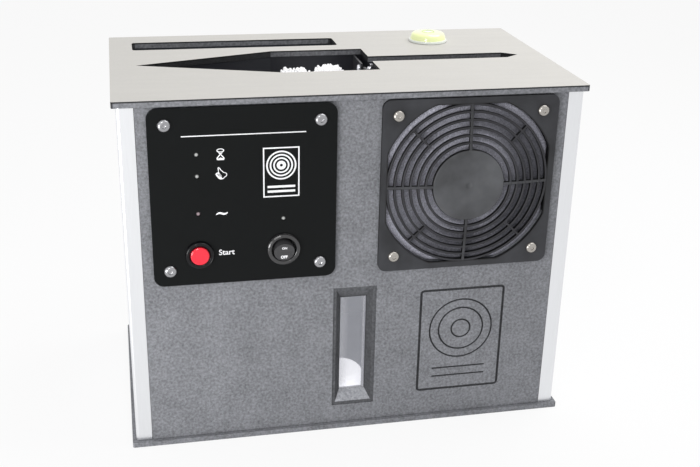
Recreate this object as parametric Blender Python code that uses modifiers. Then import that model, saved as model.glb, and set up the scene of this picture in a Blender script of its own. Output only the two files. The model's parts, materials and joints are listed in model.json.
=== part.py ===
"""Record cleaning machine: a washing basin, its rollers and drives, a tank and a fan in a boxed case.

Metres, +Z up, the front towards -Y. The origin is the centre of the base plate's underside.
"""

from math import atan2, cos, hypot, pi, radians, sin

import bmesh
import bpy
from mathutils import Matrix

# Clearances shared by all pieces
FIT = 0.0003
RUN = 0.0003
OVERRUN = 0.0020
MERGE = 0.00001
SINK = 0.0005

# Case
PLATE_WIDTH = 0.3310
PLATE_DEPTH = 0.1914
PLATE_CORNER = 0.0015
BASE_THICKNESS = 0.0039
TOP_THICKNESS = 0.0044
OVERALL_HEIGHT = 0.2629
OVERHANG_SIDE = 0.0028
OVERHANG_FRONT = 0.0031
STRIP_WIDTH = 0.0115
SHEET = 0.0015
BEND_RADIUS = 0.0020
BOARD = 0.0060
BODY_WIDTH = PLATE_WIDTH - 2 * OVERHANG_SIDE
BODY_DEPTH = PLATE_DEPTH - 2 * OVERHANG_FRONT
BOARD_WIDTH = BODY_WIDTH - 2 * STRIP_WIDTH - 2 * FIT

# Slots in the top plate: ends measured from the plate's edges, widths as shares of its depth
SLOT_END_LEFT = 0.0188
SLOT_END_RIGHT = 0.0197
SLOT_TIP = 0.0108
SLOT_NARROW_SHARE = 0.0402
MOUTH_LEFT = 0.0434
MOUTH_RIGHT = 0.0280
MOUTH_HALF_SHARE = 0.1729
FILL_SLOT_END = 0.0174
FILL_SLOT_LENGTH_SHARE = 0.4843
FILL_SLOT_WIDTH_SHARE = 0.1322
FILL_SLOT_BACK_SHARE = 0.3182
FILL_SLOT_CORNER = 0.0025
SLOT_LEFT = PLATE_WIDTH / 2 - SLOT_END_LEFT
SLOT_RIGHT = PLATE_WIDTH / 2 - SLOT_END_RIGHT
SLOT_NARROW_HALF = PLATE_DEPTH * SLOT_NARROW_SHARE
MOUTH_HALF = PLATE_DEPTH * MOUTH_HALF_SHARE
FILL_SLOT_LEFT = PLATE_WIDTH / 2 - FILL_SLOT_END
FILL_SLOT_LENGTH = PLATE_WIDTH * FILL_SLOT_LENGTH_SHARE
FILL_SLOT_WIDTH = PLATE_DEPTH * FILL_SLOT_WIDTH_SHARE
FILL_SLOT_BACK = PLATE_DEPTH * FILL_SLOT_BACK_SHARE

# Square face plates: the control panel on the left and the fan guard on the right.
# They share the front board's width. Sizes that grow with them are in parts of their side.
FACE_MIDDLE_GAP = 0.0314
FACE_EDGE_GAP = 0.0072
FACE_TOP_GAP = 0.0058
FACE_CORNER = 0.0070
FACE_THICKNESS = 0.0022
FACE_SIZE = (BOARD_WIDTH - FACE_MIDDLE_GAP - 2 * FACE_EDGE_GAP) / 2
FACE_SIDE = (FACE_MIDDLE_GAP + FACE_SIZE) / 2
FACE_DROP = FACE_TOP_GAP + FACE_SIZE / 2
FACE_PART_COUNT = 128
FACE_UNIT = FACE_SIZE / FACE_PART_COUNT
SCREW_PITCH = 105.2 * FACE_UNIT
HATCH_WIDTH = 88 * FACE_UNIT
HATCH_HEIGHT = 104 * FACE_UNIT
HATCH_CORNER = 0.0040

# Button head screws: M5 on the control panel, M4 on the fan guard
PANEL_SCREW = 0.0050
PANEL_SCREW_HEAD = 0.0087
PANEL_SCREW_LENGTH = 0.0120
GUARD_SCREW = 0.0040
GUARD_SCREW_HEAD = 0.0077
GUARD_SCREW_LENGTH = 0.0220
HEAD_RISE_SHARE = 0.50
SOCKET_SHARE = 0.68
SOCKET_DEPTH_SHARE = 0.30

# Controls on the panel, measured from its centre
LEFT_COLUMN = 32.0 * FACE_UNIT
RIGHT_COLUMN = 26.7 * FACE_UNIT
START_DROP = 41.4 * FACE_UNIT
ROCKER_DROP = 40.7 * FACE_UNIT
FILL_LED_RISE = 31.5 * FACE_UNIT
READY_LED_RISE = 16.1 * FACE_UNIT
WAVE_LED_DROP = 11.0 * FACE_UNIT
POWER_LED_DROP = 17.7 * FACE_UNIT
LED_DIAMETER = 0.0030
LED_LENGTH = 0.0105
LED_PROUD = 0.0004
LED_CROWN_SHARE = 0.60
START_CAP = 0.0128
START_CAP_DEPTH = 0.0082
START_CAP_PROUD = 0.0034
START_DISH = 0.0005
START_BEZEL = 0.0198
START_BEZEL_HEIGHT = 0.0024
BEZEL_INNER_SHARE = 0.70
BEZEL_OUTER_SHARE = 0.45
BEZEL_FLAT_SHARE = 0.40
CAP_DISH_SHARES = ((0.45, 0.80), (0.75, 0.20))
CAP_CREST_SHARE = 0.88
START_BARREL = 0.0158
START_BARREL_LENGTH = 0.0180
START_WELL = 0.0075
ROCKER_BEZEL = 0.0234
ROCKER_BEZEL_HEIGHT = 0.0026
ROCKER_FOOT_SHARE = 0.45
ROCKER_BORE = 0.0172
ROCKER_BARREL = 0.0200
ROCKER_BARREL_LENGTH = 0.0200
ROCKER_WELL = 0.0080
ROCKER_DIAMETER = 0.0146
ROCKER_BELOW = 0.0030
ROCKER_END_HEIGHT = 0.0048
ROCKER_VALLEY_HEIGHT = 0.0040
ROCKER_PIVOT_DEPTH = 0.0006
ROCKER_TILT = radians(15)
CIRCUIT_WIDTH = 96 * FACE_UNIT
CIRCUIT_HEIGHT = 72 * FACE_UNIT
CIRCUIT_RISE = 11 * FACE_UNIT
CIRCUIT_THICKNESS = 0.0016
CIRCUIT_SETBACK = 0.0088
PILLAR = 0.0050
PILLAR_INSET = 6 * FACE_UNIT
RELAY_SIZE = 0.0180
CHIP_SIZE = 0.0140
PART_HEIGHT = 0.0080

# Window onto the tank: the pane shows from its sill to just under the tank's top
WINDOW_WIDTH = 0.0323
WINDOW_FRAME_HEIGHT = 0.0105
WINDOW_SILL = 0.02905
WINDOW_BELOW_TANK_TOP = 0.00615
WINDOW_REBATE = 0.0024
WINDOW_REBATE_DEPTH = 0.0008
WINDOW_INNER_WIDTH = 0.0193
PANE_LAP = 0.0040
PANE_THICKNESS = 0.0030

# The engraved frame beside it, between the fan guard and the base plate
ENGRAVING_WIDTH = 0.0659
ENGRAVING_SHIFT = 0.0028
ENGRAVING_BELOW_FACE = 0.01875
ENGRAVING_OVER_BASE = 0.02005
ENGRAVING_CORNER = 0.0030
FRAME_GROOVE = 0.0019
GROOVE = 0.0013
GROOVE_DEPTH = 0.0010
RING_SHARES = (0.2904, 0.2091, 0.0929)
RING_RAISE_SHARE = 0.1045
BAR_LENGTH_SHARE = 0.64
BAR_DROP_SHARES = (0.2787, 0.3600)

# Fan guard, foam, fan
GUARD_CORNER = 0.0060
GUARD_OPENING = 64.5 * FACE_UNIT
GUARD_FLAT = 59.2 * FACE_UNIT
GUARD_HUB = 26.5 * FACE_UNIT
GUARD_RING_RADII = [n * FACE_UNIT for n in (31.4, 36.8, 42.4, 48.0, 53.7, 59.0)]
GUARD_BAR = 0.0014
GUARD_BAR_DEPTH = 0.0020
GUARD_DOME = 0.0034
GUARD_SPOKE = 0.0018
SPOKE_DROP_SHARE = 0.125
INNER_RING_COUNT = 2
FOAM_THICKNESS = 0.0048
FAN_SIZE = 120 * FACE_UNIT
FAN_CORNER = 0.0050
FAN_DEPTH = 0.0250
FAN_ROOM = 0.0100
FAN_BORE = 58 * FACE_UNIT
FAN_BOSS = 20 * FACE_UNIT
FAN_BOSS_DEPTH = 0.0040
FAN_STRUT = 0.0060
FAN_HUB = 19 * FACE_UNIT
FAN_HUB_LENGTH = 0.0170
FAN_SPINDLE = 0.0025
BLADE_COUNT = 7
BLADE_REACH = 56 * FACE_UNIT
BLADE_CHORD = 24 * FACE_UNIT
BLADE_THICKNESS = 0.0016
BLADE_PITCH = radians(35)

# Washing basin
BASIN_MARGIN = 0.0010
BASIN_DEPTH = 0.1002
BASIN_WALL = 0.0020

# Four rollers in a square, geared together
ROLLER_PITCH_SHARE = 0.7857
ROLLER_RADIUS_SHARE = 0.3233
ROLLER_PITCH = MOUTH_HALF * ROLLER_PITCH_SHARE
ROLLER_RADIUS = MOUTH_HALF * ROLLER_RADIUS_SHARE
ROLLER_SHIFT = 0.0143
ROLLER_LENGTH = 0.0870
SPINDLE_RADIUS = 0.0030
SPINDLE_PROUD = 0.0015
SPINDLE_FLANGE = 0.0080
SPINDLE_FLANGE_HEIGHT = 0.0036
FLANGE_GAP = 0.0010
ROLLER_TEETH = 20
PINION_TEETH = 12
ROOT_DEPTH_SHARE = 1.15
TIP_HEIGHT_SHARE = 0.80
TOOTH_FOOT_SHARE = 0.28
TOOTH_CROWN_SHARE = 0.11
GEAR_WIDTH = 0.0060
GEAR_LIFT = 0.0030
GEAR_CASE_HEIGHT = 0.0137
GEAR_CASE_WALL = 0.0020
GEAR_ROOM = 0.0012
MOTOR_RADIUS = 0.0140
MOTOR_HEIGHT = 0.0244
MOTOR_SHAFT = 0.0025
MOTOR_SHAFT_DEPTH = 0.0050

# Wheels that carry and turn the largest record that the slot and the basin take
RECORD_END_GAP = 0.0037
RECORD_OVER_FLOOR = 0.0049
WHEEL_RADIUS = 0.0070
WHEEL_WIDTH = 0.0060
WHEEL_GROOVE = 0.0010
WHEEL_LIP_SHARE = 0.17
WHEEL_ANGLE = radians(45)
AXLE_RADIUS = 0.0020
AXLE_PROUD = 0.0015
DRIVE_MOTOR_RADIUS = 0.0120
DRIVE_MOTOR_LENGTH = 0.0280
DRIVE_SHAFT_DEPTH = 0.0060

# Record guides at the right of the mouth
GUIDE_X = 0.0220
GUIDE_THICKNESS = 0.0015
GUIDE_HEIGHT = 0.0280
GUIDE_SLIT = 0.0050
GUIDE_BLOCK_WIDTH = 0.0120
GUIDE_BLOCK_HEIGHT = 0.0120
GUIDE_BLOCK_FROM_WALL = 0.0060

# Ultrasonic transducers on the basin's two long walls
TRANSDUCER_LEFT = 0.0080
TRANSDUCER_DROP = 0.0682
TRANSDUCER_RADIUS = 0.0150
TRANSDUCER_LENGTH = 0.0240
TRANSDUCER_SHARES = ((0.0, 1.0), (0.3, 1.0), (0.42, 0.72), (0.75, 0.72), (0.75, 0.8), (1.0, 0.8))

# Tank, its lid and what stands in it
TANK_CLEARANCE = 0.0053
TANK_WALL = 0.0025
LID_THICKNESS = 0.0040
FILTER_RADIUS = 0.0170
FILTER_HEIGHT = 0.0260
FILTER_EDGE = 0.0020
FILTER_LEFT = 0.0040
FILTER_SETBACK = 0.0224
PUMP_LEFT_SHARE = 0.5452
PUMP_WIDTH = 0.0500
PUMP_DEPTH = 0.0360
PUMP_HEIGHT = 0.0400
PUMP_PORT = 0.0040
PUMP_PORT_HEIGHT = 0.0060
HOSE_RADIUS = 0.0050
HOSE_BORE = 0.0035
VALVE_RIGHT = 0.0750
VALVE_WIDTH = 0.0220
VALVE_DEPTH = 0.0180
VALVE_HEIGHT = 0.0220
VALVE_PIPE_DIP = 0.0130
TROUGH_DEPTH = 0.0260
TROUGH_WALL = 0.0015
CHUTE_FROM_END = 0.0231
CHUTE_RADIUS = 0.0100
CHUTE_BORE = 0.0085
CHUTE_DIP = 0.0080

# Power supply, rear inlet and rear vents
SUPPLY_FROM_BASIN = 0.0140
SUPPLY_FROM_SIDE = 0.0212
SUPPLY_DEPTH = 0.0400
SUPPLY_HEIGHT = 0.0550
SUPPLY_SETBACK = 0.0070
SUPPLY_EDGE = 0.0020
INLET_FROM_SIDE = 0.0627
INLET_OVER_SUPPLY = 0.0277
INLET_FLANGE_WIDTH = 0.0500
INLET_FLANGE_HEIGHT = 0.0240
INLET_FLANGE_THICKNESS = 0.0025
INLET_FLANGE_CORNER = 0.0040
INLET_BODY_WIDTH = 0.0275
INLET_BODY_HEIGHT = 0.0205
INLET_BODY_DEPTH = 0.0200
INLET_MOUTH_WIDTH = 0.0246
INLET_MOUTH_HEIGHT = 0.0164
INLET_MOUTH_DEPTH = 0.0150
PIN_WIDTH = 0.0020
PIN_HEIGHT = 0.0040
PIN_LENGTH = 0.0120
PIN_SPREAD = 0.0070
PIN_RISE = 0.0005
EARTH_RISE = 0.0045
VENT_COUNT = 7
VENT_WIDTH = 0.0030
VENT_HEIGHT = 0.0300
VENT_STEP = 0.0080

# Bubble level on the top plate
LEVEL_FROM_SIDE = 0.0770
LEVEL_FROM_BACK = 0.0411
LEVEL_RIM = 0.0154
LEVEL_RIM_HEIGHT = 0.0016
LEVEL_TOP = 0.0128
LEVEL_HEIGHT = 0.0076
LEVEL_EDGE = 0.0010

# Heights and planes worked out from the sizes above
BODY_BOTTOM = BASE_THICKNESS + FIT
BODY_TOP = OVERALL_HEIGHT - TOP_THICKNESS - FIT
FRONT_Y = -BODY_DEPTH / 2
REAR_Y = BODY_DEPTH / 2
FACE_Z = OVERALL_HEIGHT - FACE_DROP
FACE_Y = FRONT_Y - FIT
FLOOR_Z = BODY_TOP - BASIN_DEPTH
UNDER_Z = FLOOR_Z - BASIN_WALL
BASIN_HALF = MOUTH_HALF + BASIN_MARGIN + BASIN_WALL
CASE_TOP = UNDER_Z - FIT
CASE_BOTTOM = CASE_TOP - GEAR_CASE_HEIGHT
GEAR_Z = CASE_BOTTOM + GEAR_CASE_WALL + GEAR_LIFT
LID_UNDER_MOTOR = CASE_BOTTOM - FIT - MOTOR_HEIGHT - FIT
LID_UNDER_FAN = FACE_Z - FAN_SIZE / 2 - FAN_ROOM
LID_TOP = min(LID_UNDER_MOTOR, LID_UNDER_FAN)
LID_BOTTOM = LID_TOP - LID_THICKNESS
TANK_TOP = LID_BOTTOM - FIT
TANK_FLOOR = BODY_BOTTOM + TANK_WALL + FIT
TANK_HALF_X = BODY_WIDTH / 2 - SHEET - TANK_CLEARANCE
TANK_FRONT = FRONT_Y + BOARD + FIT + PANE_THICKNESS + FIT
TANK_REAR = REAR_Y - BOARD - FIT - PANE_THICKNESS - FIT
PUMP_LEFT = TANK_HALF_X * PUMP_LEFT_SHARE
WINDOW_INNER_HEIGHT = TANK_TOP - WINDOW_BELOW_TANK_TOP - WINDOW_SILL
WINDOW_HEIGHT = WINDOW_INNER_HEIGHT + 2 * WINDOW_FRAME_HEIGHT
WINDOW_RISE = WINDOW_SILL + WINDOW_INNER_HEIGHT / 2
ENGRAVING_TOP = FACE_Z - FACE_SIZE / 2 - ENGRAVING_BELOW_FACE
ENGRAVING_FOOT = BODY_BOTTOM + ENGRAVING_OVER_BASE
ENGRAVING_HEIGHT = ENGRAVING_TOP - ENGRAVING_FOOT
ENGRAVING_RISE = (ENGRAVING_TOP + ENGRAVING_FOOT) / 2
ENGRAVING_SIDE = FACE_SIDE + ENGRAVING_SHIFT
CHUTE_LEFT = FILL_SLOT_LEFT - CHUTE_FROM_END
SUPPLY_START = MOUTH_RIGHT + BASIN_MARGIN + BASIN_WALL + SUPPLY_FROM_BASIN
SUPPLY_END = BODY_WIDTH / 2 - SHEET - SUPPLY_FROM_SIDE
SUPPLY_RIGHT = (SUPPLY_START + SUPPLY_END) / 2
INLET_RIGHT = BODY_WIDTH / 2 - INLET_FROM_SIDE
INLET_HEIGHT_AT = LID_TOP + FIT + SUPPLY_HEIGHT + INLET_OVER_SUPPLY
VENT_HEIGHT_AT = LID_TOP + FIT + SUPPLY_HEIGHT / 2
LEVEL_RIGHT = PLATE_WIDTH / 2 - LEVEL_FROM_SIDE
LEVEL_BACK = PLATE_DEPTH / 2 - LEVEL_FROM_BACK
RECORD_DEPTH = OVERALL_HEIGHT - FLOOR_Z - RECORD_OVER_FLOOR
RECORD_HALF_CHORD = SLOT_RIGHT - RECORD_END_GAP
RECORD_RADIUS = (RECORD_HALF_CHORD ** 2 + RECORD_DEPTH ** 2) / (2 * RECORD_DEPTH)
RECORD_Z = FLOOR_Z + RECORD_OVER_FLOOR + RECORD_RADIUS
WHEEL_X = (RECORD_RADIUS + WHEEL_RADIUS - WHEEL_GROOVE) * sin(WHEEL_ANGLE)
WHEEL_Z = RECORD_Z - (RECORD_RADIUS + WHEEL_RADIUS - WHEEL_GROOVE) * cos(WHEEL_ANGLE)
SLEEVE_Z = FLOOR_Z + FLANGE_GAP + SPINDLE_FLANGE_HEIGHT + FIT
MODULE = ROLLER_PITCH / ROLLER_TEETH
PINION_X = -ROLLER_SHIFT - ROLLER_PITCH / 2 - MODULE * (ROLLER_TEETH + PINION_TEETH) / 2
PINION_Y = -ROLLER_PITCH / 2
CIRCUIT_Y = FACE_Y + CIRCUIT_SETBACK
FACING_FRONT = (pi / 2, 0, 0)
FACING_REAR = (pi / 2, 0, pi)
LYING = (0, 0, 0)


def clear_scene():
    """Remove whatever the scene holds."""
    for thing in list(bpy.data.objects):
        bpy.data.objects.remove(thing, do_unlink=True)


def make_collection(name):
    """Add a collection under the scene's own."""
    group = bpy.data.collections.new(name)
    bpy.context.scene.collection.children.link(group)
    return group


def finish(name, colour, roughness, metallic=0.0, alpha=1.0):
    """A Principled material of one finish."""
    material = bpy.data.materials.new(name)
    material.use_nodes = True
    shader = material.node_tree.nodes["Principled BSDF"]
    shader.inputs["Base Color"].default_value = (*colour, 1.0)
    shader.inputs["Roughness"].default_value = roughness
    shader.inputs["Metallic"].default_value = metallic
    shader.inputs["Alpha"].default_value = alpha
    return material


clear_scene()
PARTS = make_collection("record_cleaning_machine")
CUTTERS = make_collection("cutters")


# Shapes

def place(name, mesh, look, location=(0, 0, 0), rotation=LYING):
    """Put a mesh into the parts collection as a named object."""
    thing = bpy.data.objects.new(name, mesh)
    thing.location = location
    thing.rotation_euler = rotation
    if look is not None:
        mesh.materials.append(look)
    PARTS.objects.link(thing)
    return thing


def box(name, size, centre, look=None, location=(0, 0, 0), rotation=LYING):
    """A block of the given size about a centre in its own frame."""
    bm = bmesh.new()
    bmesh.ops.create_cube(bm, size=1)
    bmesh.ops.scale(bm, verts=bm.verts, vec=size)
    bmesh.ops.translate(bm, verts=bm.verts, vec=centre)
    mesh = bpy.data.meshes.new(name)
    bm.to_mesh(mesh)
    bm.free()
    return place(name, mesh, look, location, rotation)


def tapered_box(name, back, front, back_z, front_z, location, rotation):
    """A block whose front face has another size than its back face."""
    bm = bmesh.new()
    bmesh.ops.create_cube(bm, size=1)
    for vert in bm.verts:
        wide, high = front if vert.co.z > 0 else back
        vert.co.x *= wide
        vert.co.y *= high
        vert.co.z = front_z if vert.co.z > 0 else back_z
    mesh = bpy.data.meshes.new(name)
    bm.to_mesh(mesh)
    bm.free()
    return place(name, mesh, None, location, rotation)


def rod(name, radius, low, high, look=None, location=(0, 0, 0), rotation=LYING, sides=24, centre=(0, 0)):
    """A cylinder along its own Z from low to high."""
    bm = bmesh.new()
    bmesh.ops.create_cone(bm, cap_ends=True, segments=sides, radius1=radius, radius2=radius, depth=high - low)
    bmesh.ops.translate(bm, verts=bm.verts, vec=(centre[0], centre[1], (low + high) / 2))
    mesh = bpy.data.meshes.new(name)
    bm.to_mesh(mesh)
    bm.free()
    mesh.shade_smooth()
    mesh.set_sharp_from_angle(angle=radians(40))
    return place(name, mesh, look, location, rotation)


def turned(name, profile, look=None, location=(0, 0, 0), rotation=LYING, steps=32, closed=False):
    """A turned piece: the profile's (radius, height) points swept about its own Z."""
    count = len(profile)
    pairs = [(n, n + 1) for n in range(count - 1)]
    if closed:
        pairs.append((count - 1, 0))
    mesh = bpy.data.meshes.new(name)
    mesh.from_pydata([(radius, 0, height) for radius, height in profile], pairs, [])
    thing = place(name, mesh, look, location, rotation)
    spin = thing.modifiers.new("turn", "SCREW")
    spin.steps = steps
    spin.render_steps = steps
    spin.use_merge_vertices = True
    spin.merge_threshold = MERGE
    spin.use_smooth_shade = False
    return thing


def plate(name, outlines, thickness, look=None, location=(0, 0, 0), rotation=LYING):
    """A flat outline, with any holes as further outlines, raised from 0 to its thickness."""
    curve = bpy.data.curves.new(name, "CURVE")
    curve.dimensions = "2D"
    curve.fill_mode = "BOTH"
    curve.extrude = thickness / 2
    for outline in outlines:
        spline = curve.splines.new("POLY")
        spline.points.add(len(outline) - 1)
        for point, (x, y) in zip(spline.points, outline):
            point.co = (x, y, 0, 1)
        spline.use_cyclic_u = True
    holder = bpy.data.objects.new(name + "_outline", curve)
    PARTS.objects.link(holder)
    seen = holder.evaluated_get(bpy.context.evaluated_depsgraph_get())
    mesh = bpy.data.meshes.new_from_object(seen)
    bpy.data.objects.remove(holder, do_unlink=True)
    mesh.name = name
    mesh.materials.clear()
    bm = bmesh.new()
    bm.from_mesh(mesh)
    bmesh.ops.remove_doubles(bm, verts=bm.verts, dist=MERGE)
    bmesh.ops.recalc_face_normals(bm, faces=bm.faces)
    bmesh.ops.translate(bm, verts=bm.verts, vec=(0, 0, thickness / 2))
    bm.to_mesh(mesh)
    bm.free()
    return place(name, mesh, look, location, rotation)


def open_tray(name, outline, bottom, top, wall, look):
    """A tray: its inner surface is an open sheet, which gets its wall outwards."""
    bm = bmesh.new()
    floor = bm.faces.new([bm.verts.new((x, y, bottom)) for x, y in outline])
    grown = bmesh.ops.extrude_edge_only(bm, edges=list(floor.edges))
    rim = [item for item in grown["geom"] if isinstance(item, bmesh.types.BMVert)]
    bmesh.ops.translate(bm, verts=rim, vec=(0, 0, top - bottom))
    bmesh.ops.recalc_face_normals(bm, faces=bm.faces)
    bm.normal_update()
    if floor.normal.z < 0:
        bmesh.ops.reverse_faces(bm, faces=bm.faces)
    mesh = bpy.data.meshes.new(name)
    bm.to_mesh(mesh)
    bm.free()
    thing = place(name, mesh, look)
    thicken(thing, wall)
    return thing


def thicken(thing, wall):
    """Give an open sheet its wall on the side away from its normals."""
    shell = thing.modifiers.new("wall", "SOLIDIFY")
    shell.solidify_mode = "NON_MANIFOLD"
    shell.nonmanifold_thickness_mode = "CONSTRAINTS"
    shell.thickness = wall
    shell.offset = -1


def soften(thing, width, segments=2):
    """Round a piece's sharp edges."""
    bevel = thing.modifiers.new("rounding", "BEVEL")
    bevel.width = width
    bevel.segments = segments
    bevel.limit_method = "ANGLE"
    bevel.angle_limit = radians(40)


def tool_away(tool):
    """Move a cutter or a joined lump out of the parts and out of the render."""
    PARTS.objects.unlink(tool)
    CUTTERS.objects.link(tool)
    tool.hide_render = True
    tool.display_type = "WIRE"


def combine(thing, tool, operation):
    """Boolean a tool into a piece."""
    change = thing.modifiers.new(operation.lower(), "BOOLEAN")
    change.operation = operation
    change.solver = "EXACT"
    change.object = tool
    tool_away(tool)


def cut(thing, tool):
    """Take a tool's shape out of a piece."""
    combine(thing, tool, "DIFFERENCE")


def join(thing, tool):
    """Add a tool's shape to a piece."""
    combine(thing, tool, "UNION")


# Outlines

def circle(radius, centre=(0, 0), sides=24, phase=0.0):
    """Points round a circle."""
    x, y = centre
    turns = [phase + 2 * pi * n / sides for n in range(sides)]
    return [(x + radius * cos(a), y + radius * sin(a)) for a in turns]


def rounded_rectangle(width, height, corner, centre=(0, 0), steps=3):
    """A rectangle with arcs for corners."""
    x, y = centre
    points = []
    for turn, (side_x, side_y) in enumerate(((1, 1), (-1, 1), (-1, -1), (1, -1))):
        middle_x = x + side_x * (width / 2 - corner)
        middle_y = y + side_y * (height / 2 - corner)
        for n in range(steps + 1):
            angle = turn * pi / 2 + n * pi / 2 / steps
            points.append((middle_x + corner * cos(angle), middle_y + corner * sin(angle)))
    return points


def rectangle(width, height, centre=(0, 0)):
    """A plain rectangle."""
    x, y = centre
    half_x = width / 2
    half_y = height / 2
    signs = ((1, 1), (-1, 1), (-1, -1), (1, -1))
    return [(x + side_x * half_x, y + side_y * half_y) for side_x, side_y in signs]


def flattened_circle(radius, flat, centre=(0, 0), steps=9):
    """A circle cut off by the four sides of a square of half width flat."""
    x, y = centre
    start = atan2((radius ** 2 - flat ** 2) ** 0.5, flat)
    points = []
    for quarter in range(4):
        for n in range(steps + 1):
            angle = quarter * pi / 2 + start + n * (pi / 2 - 2 * start) / steps
            points.append((x + radius * cos(angle), y + radius * sin(angle)))
    return points


def slot_outline(grow):
    """The record slot: a long V, the wide mouth and a narrow slit with a pointed end."""
    wide = MOUTH_HALF + grow
    narrow = SLOT_NARROW_HALF + grow
    right = MOUTH_RIGHT + grow
    upper = [
        (SLOT_RIGHT - SLOT_TIP, narrow),
        (right, narrow),
        (right, wide),
        (-MOUTH_LEFT, wide),
    ]
    lower = [(x, -y) for x, y in reversed(upper)]
    return [(SLOT_RIGHT + grow, 0), *upper, (-SLOT_LEFT - grow, 0), *lower]


def fill_outline(grow):
    """The long filling slot at the back of the top plate."""
    centre = (-FILL_SLOT_LEFT + FILL_SLOT_LENGTH / 2, FILL_SLOT_BACK)
    return rounded_rectangle(
        FILL_SLOT_LENGTH + 2 * grow, FILL_SLOT_WIDTH + 2 * grow, FILL_SLOT_CORNER + grow, centre
    )


def gear_outline(teeth, phase):
    """Straight-flanked teeth on a pitch circle of MODULE times half the teeth."""
    pitch = 2 * pi / teeth
    radius = MODULE * teeth / 2
    root = radius - ROOT_DEPTH_SHARE * MODULE
    tip = radius + TIP_HEIGHT_SHARE * MODULE
    foot = TOOTH_FOOT_SHARE
    crown = TOOTH_CROWN_SHARE
    points = []
    for n in range(teeth):
        middle = phase + n * pitch
        for share, level in ((-foot, root), (-crown, tip), (crown, tip), (foot, root)):
            points.append((level * cos(middle + share * pitch), level * sin(middle + share * pitch)))
    return points


def screw_places():
    """The four screw centres about the middle of a face plate."""
    half = SCREW_PITCH / 2
    return [(-half, half), (half, half), (-half, -half), (half, -half)]


# Case

def side_shell(name, side, look):
    """A bent sheet: the side wall and the narrow strips that show at the front and the back."""
    outer = side * BODY_WIDTH / 2
    inner = side * (BODY_WIDTH / 2 - STRIP_WIDTH)
    path = [(inner, side * FRONT_Y), (outer, side * FRONT_Y), (outer, side * REAR_Y), (inner, side * REAR_Y)]
    bm = bmesh.new()
    verts = [bm.verts.new((x, y, BODY_BOTTOM)) for x, y in path]
    edges = [bm.edges.new(pair) for pair in zip(verts, verts[1:])]
    grown = bmesh.ops.extrude_edge_only(bm, edges=edges)
    rim = [item for item in grown["geom"] if isinstance(item, bmesh.types.BMVert)]
    bmesh.ops.translate(bm, verts=rim, vec=(0, 0, BODY_TOP - BODY_BOTTOM))
    bmesh.ops.recalc_face_normals(bm, faces=bm.faces)
    bm.normal_update()
    wall = max(bm.faces, key=lambda face: abs(face.normal.x))
    if wall.normal.x * side < 0:
        bmesh.ops.reverse_faces(bm, faces=bm.faces)
    mesh = bpy.data.meshes.new(name)
    bm.to_mesh(mesh)
    bm.free()
    shell = place(name, mesh, look)
    soften(shell, BEND_RADIUS, 3)
    thicken(shell, SHEET)
    return shell


def panel_outline():
    """Front and rear boards fit between the strips."""
    return rectangle(BOARD_WIDTH, BODY_TOP - BODY_BOTTOM, (0, (BODY_TOP + BODY_BOTTOM) / 2))


def window_recess(board):
    """A shallow rebate, then sloping sides down to the pane."""
    here = (0, FRONT_Y, WINDOW_RISE)
    rebate = box(
        "window_rebate_cutter",
        (WINDOW_WIDTH, WINDOW_HEIGHT, WINDOW_REBATE_DEPTH + OVERRUN),
        (0, 0, (OVERRUN - WINDOW_REBATE_DEPTH) / 2),
        None, here, FACING_FRONT,
    )
    cut(board, rebate)
    fall = BOARD - WINDOW_REBATE_DEPTH
    slope_x = (WINDOW_WIDTH / 2 - WINDOW_REBATE - WINDOW_INNER_WIDTH / 2) / fall
    slope_y = (WINDOW_HEIGHT / 2 - WINDOW_REBATE - WINDOW_INNER_HEIGHT / 2) / fall
    before = WINDOW_REBATE_DEPTH / 2
    behind = OVERRUN
    back = (WINDOW_INNER_WIDTH - 2 * slope_x * behind, WINDOW_INNER_HEIGHT - 2 * slope_y * behind)
    front = (
        WINDOW_WIDTH - 2 * WINDOW_REBATE + 2 * slope_x * before,
        WINDOW_HEIGHT - 2 * WINDOW_REBATE + 2 * slope_y * before,
    )
    slopes = tapered_box(
        "window_slope_cutter", back, front, -BOARD - behind, before - WINDOW_REBATE_DEPTH, here, FACING_FRONT
    )
    cut(board, slopes)


def engraving(board):
    """A grooved frame round a plain record sign: three rings over two bars."""
    here = (ENGRAVING_SIDE, FRONT_Y + GROOVE_DEPTH, ENGRAVING_RISE)
    depth = GROOVE_DEPTH + OVERRUN
    inner_width = ENGRAVING_WIDTH - 2 * FRAME_GROOVE
    inner_height = ENGRAVING_HEIGHT - 2 * FRAME_GROOVE
    frame = [
        rounded_rectangle(ENGRAVING_WIDTH, ENGRAVING_HEIGHT, ENGRAVING_CORNER),
        rounded_rectangle(inner_width, inner_height, ENGRAVING_CORNER - FRAME_GROOVE),
    ]
    cut(board, plate("engraved_frame_cutter", frame, depth, None, here, FACING_FRONT))
    middle = (0, ENGRAVING_HEIGHT * RING_RAISE_SHARE)
    for share in RING_SHARES:
        radius = ENGRAVING_HEIGHT * share
        ring = [circle(radius, middle, 32), circle(radius - GROOVE, middle, 32)]
        cut(board, plate("engraved_ring_cutter", ring, depth, None, here, FACING_FRONT))
    for share in BAR_DROP_SHARES:
        middle = (0, -ENGRAVING_HEIGHT * share)
        bar = [rounded_rectangle(ENGRAVING_WIDTH * BAR_LENGTH_SHARE, GROOVE, GROOVE / 2, middle, 2)]
        cut(board, plate("engraved_bar_cutter", bar, depth, None, here, FACING_FRONT))


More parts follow.
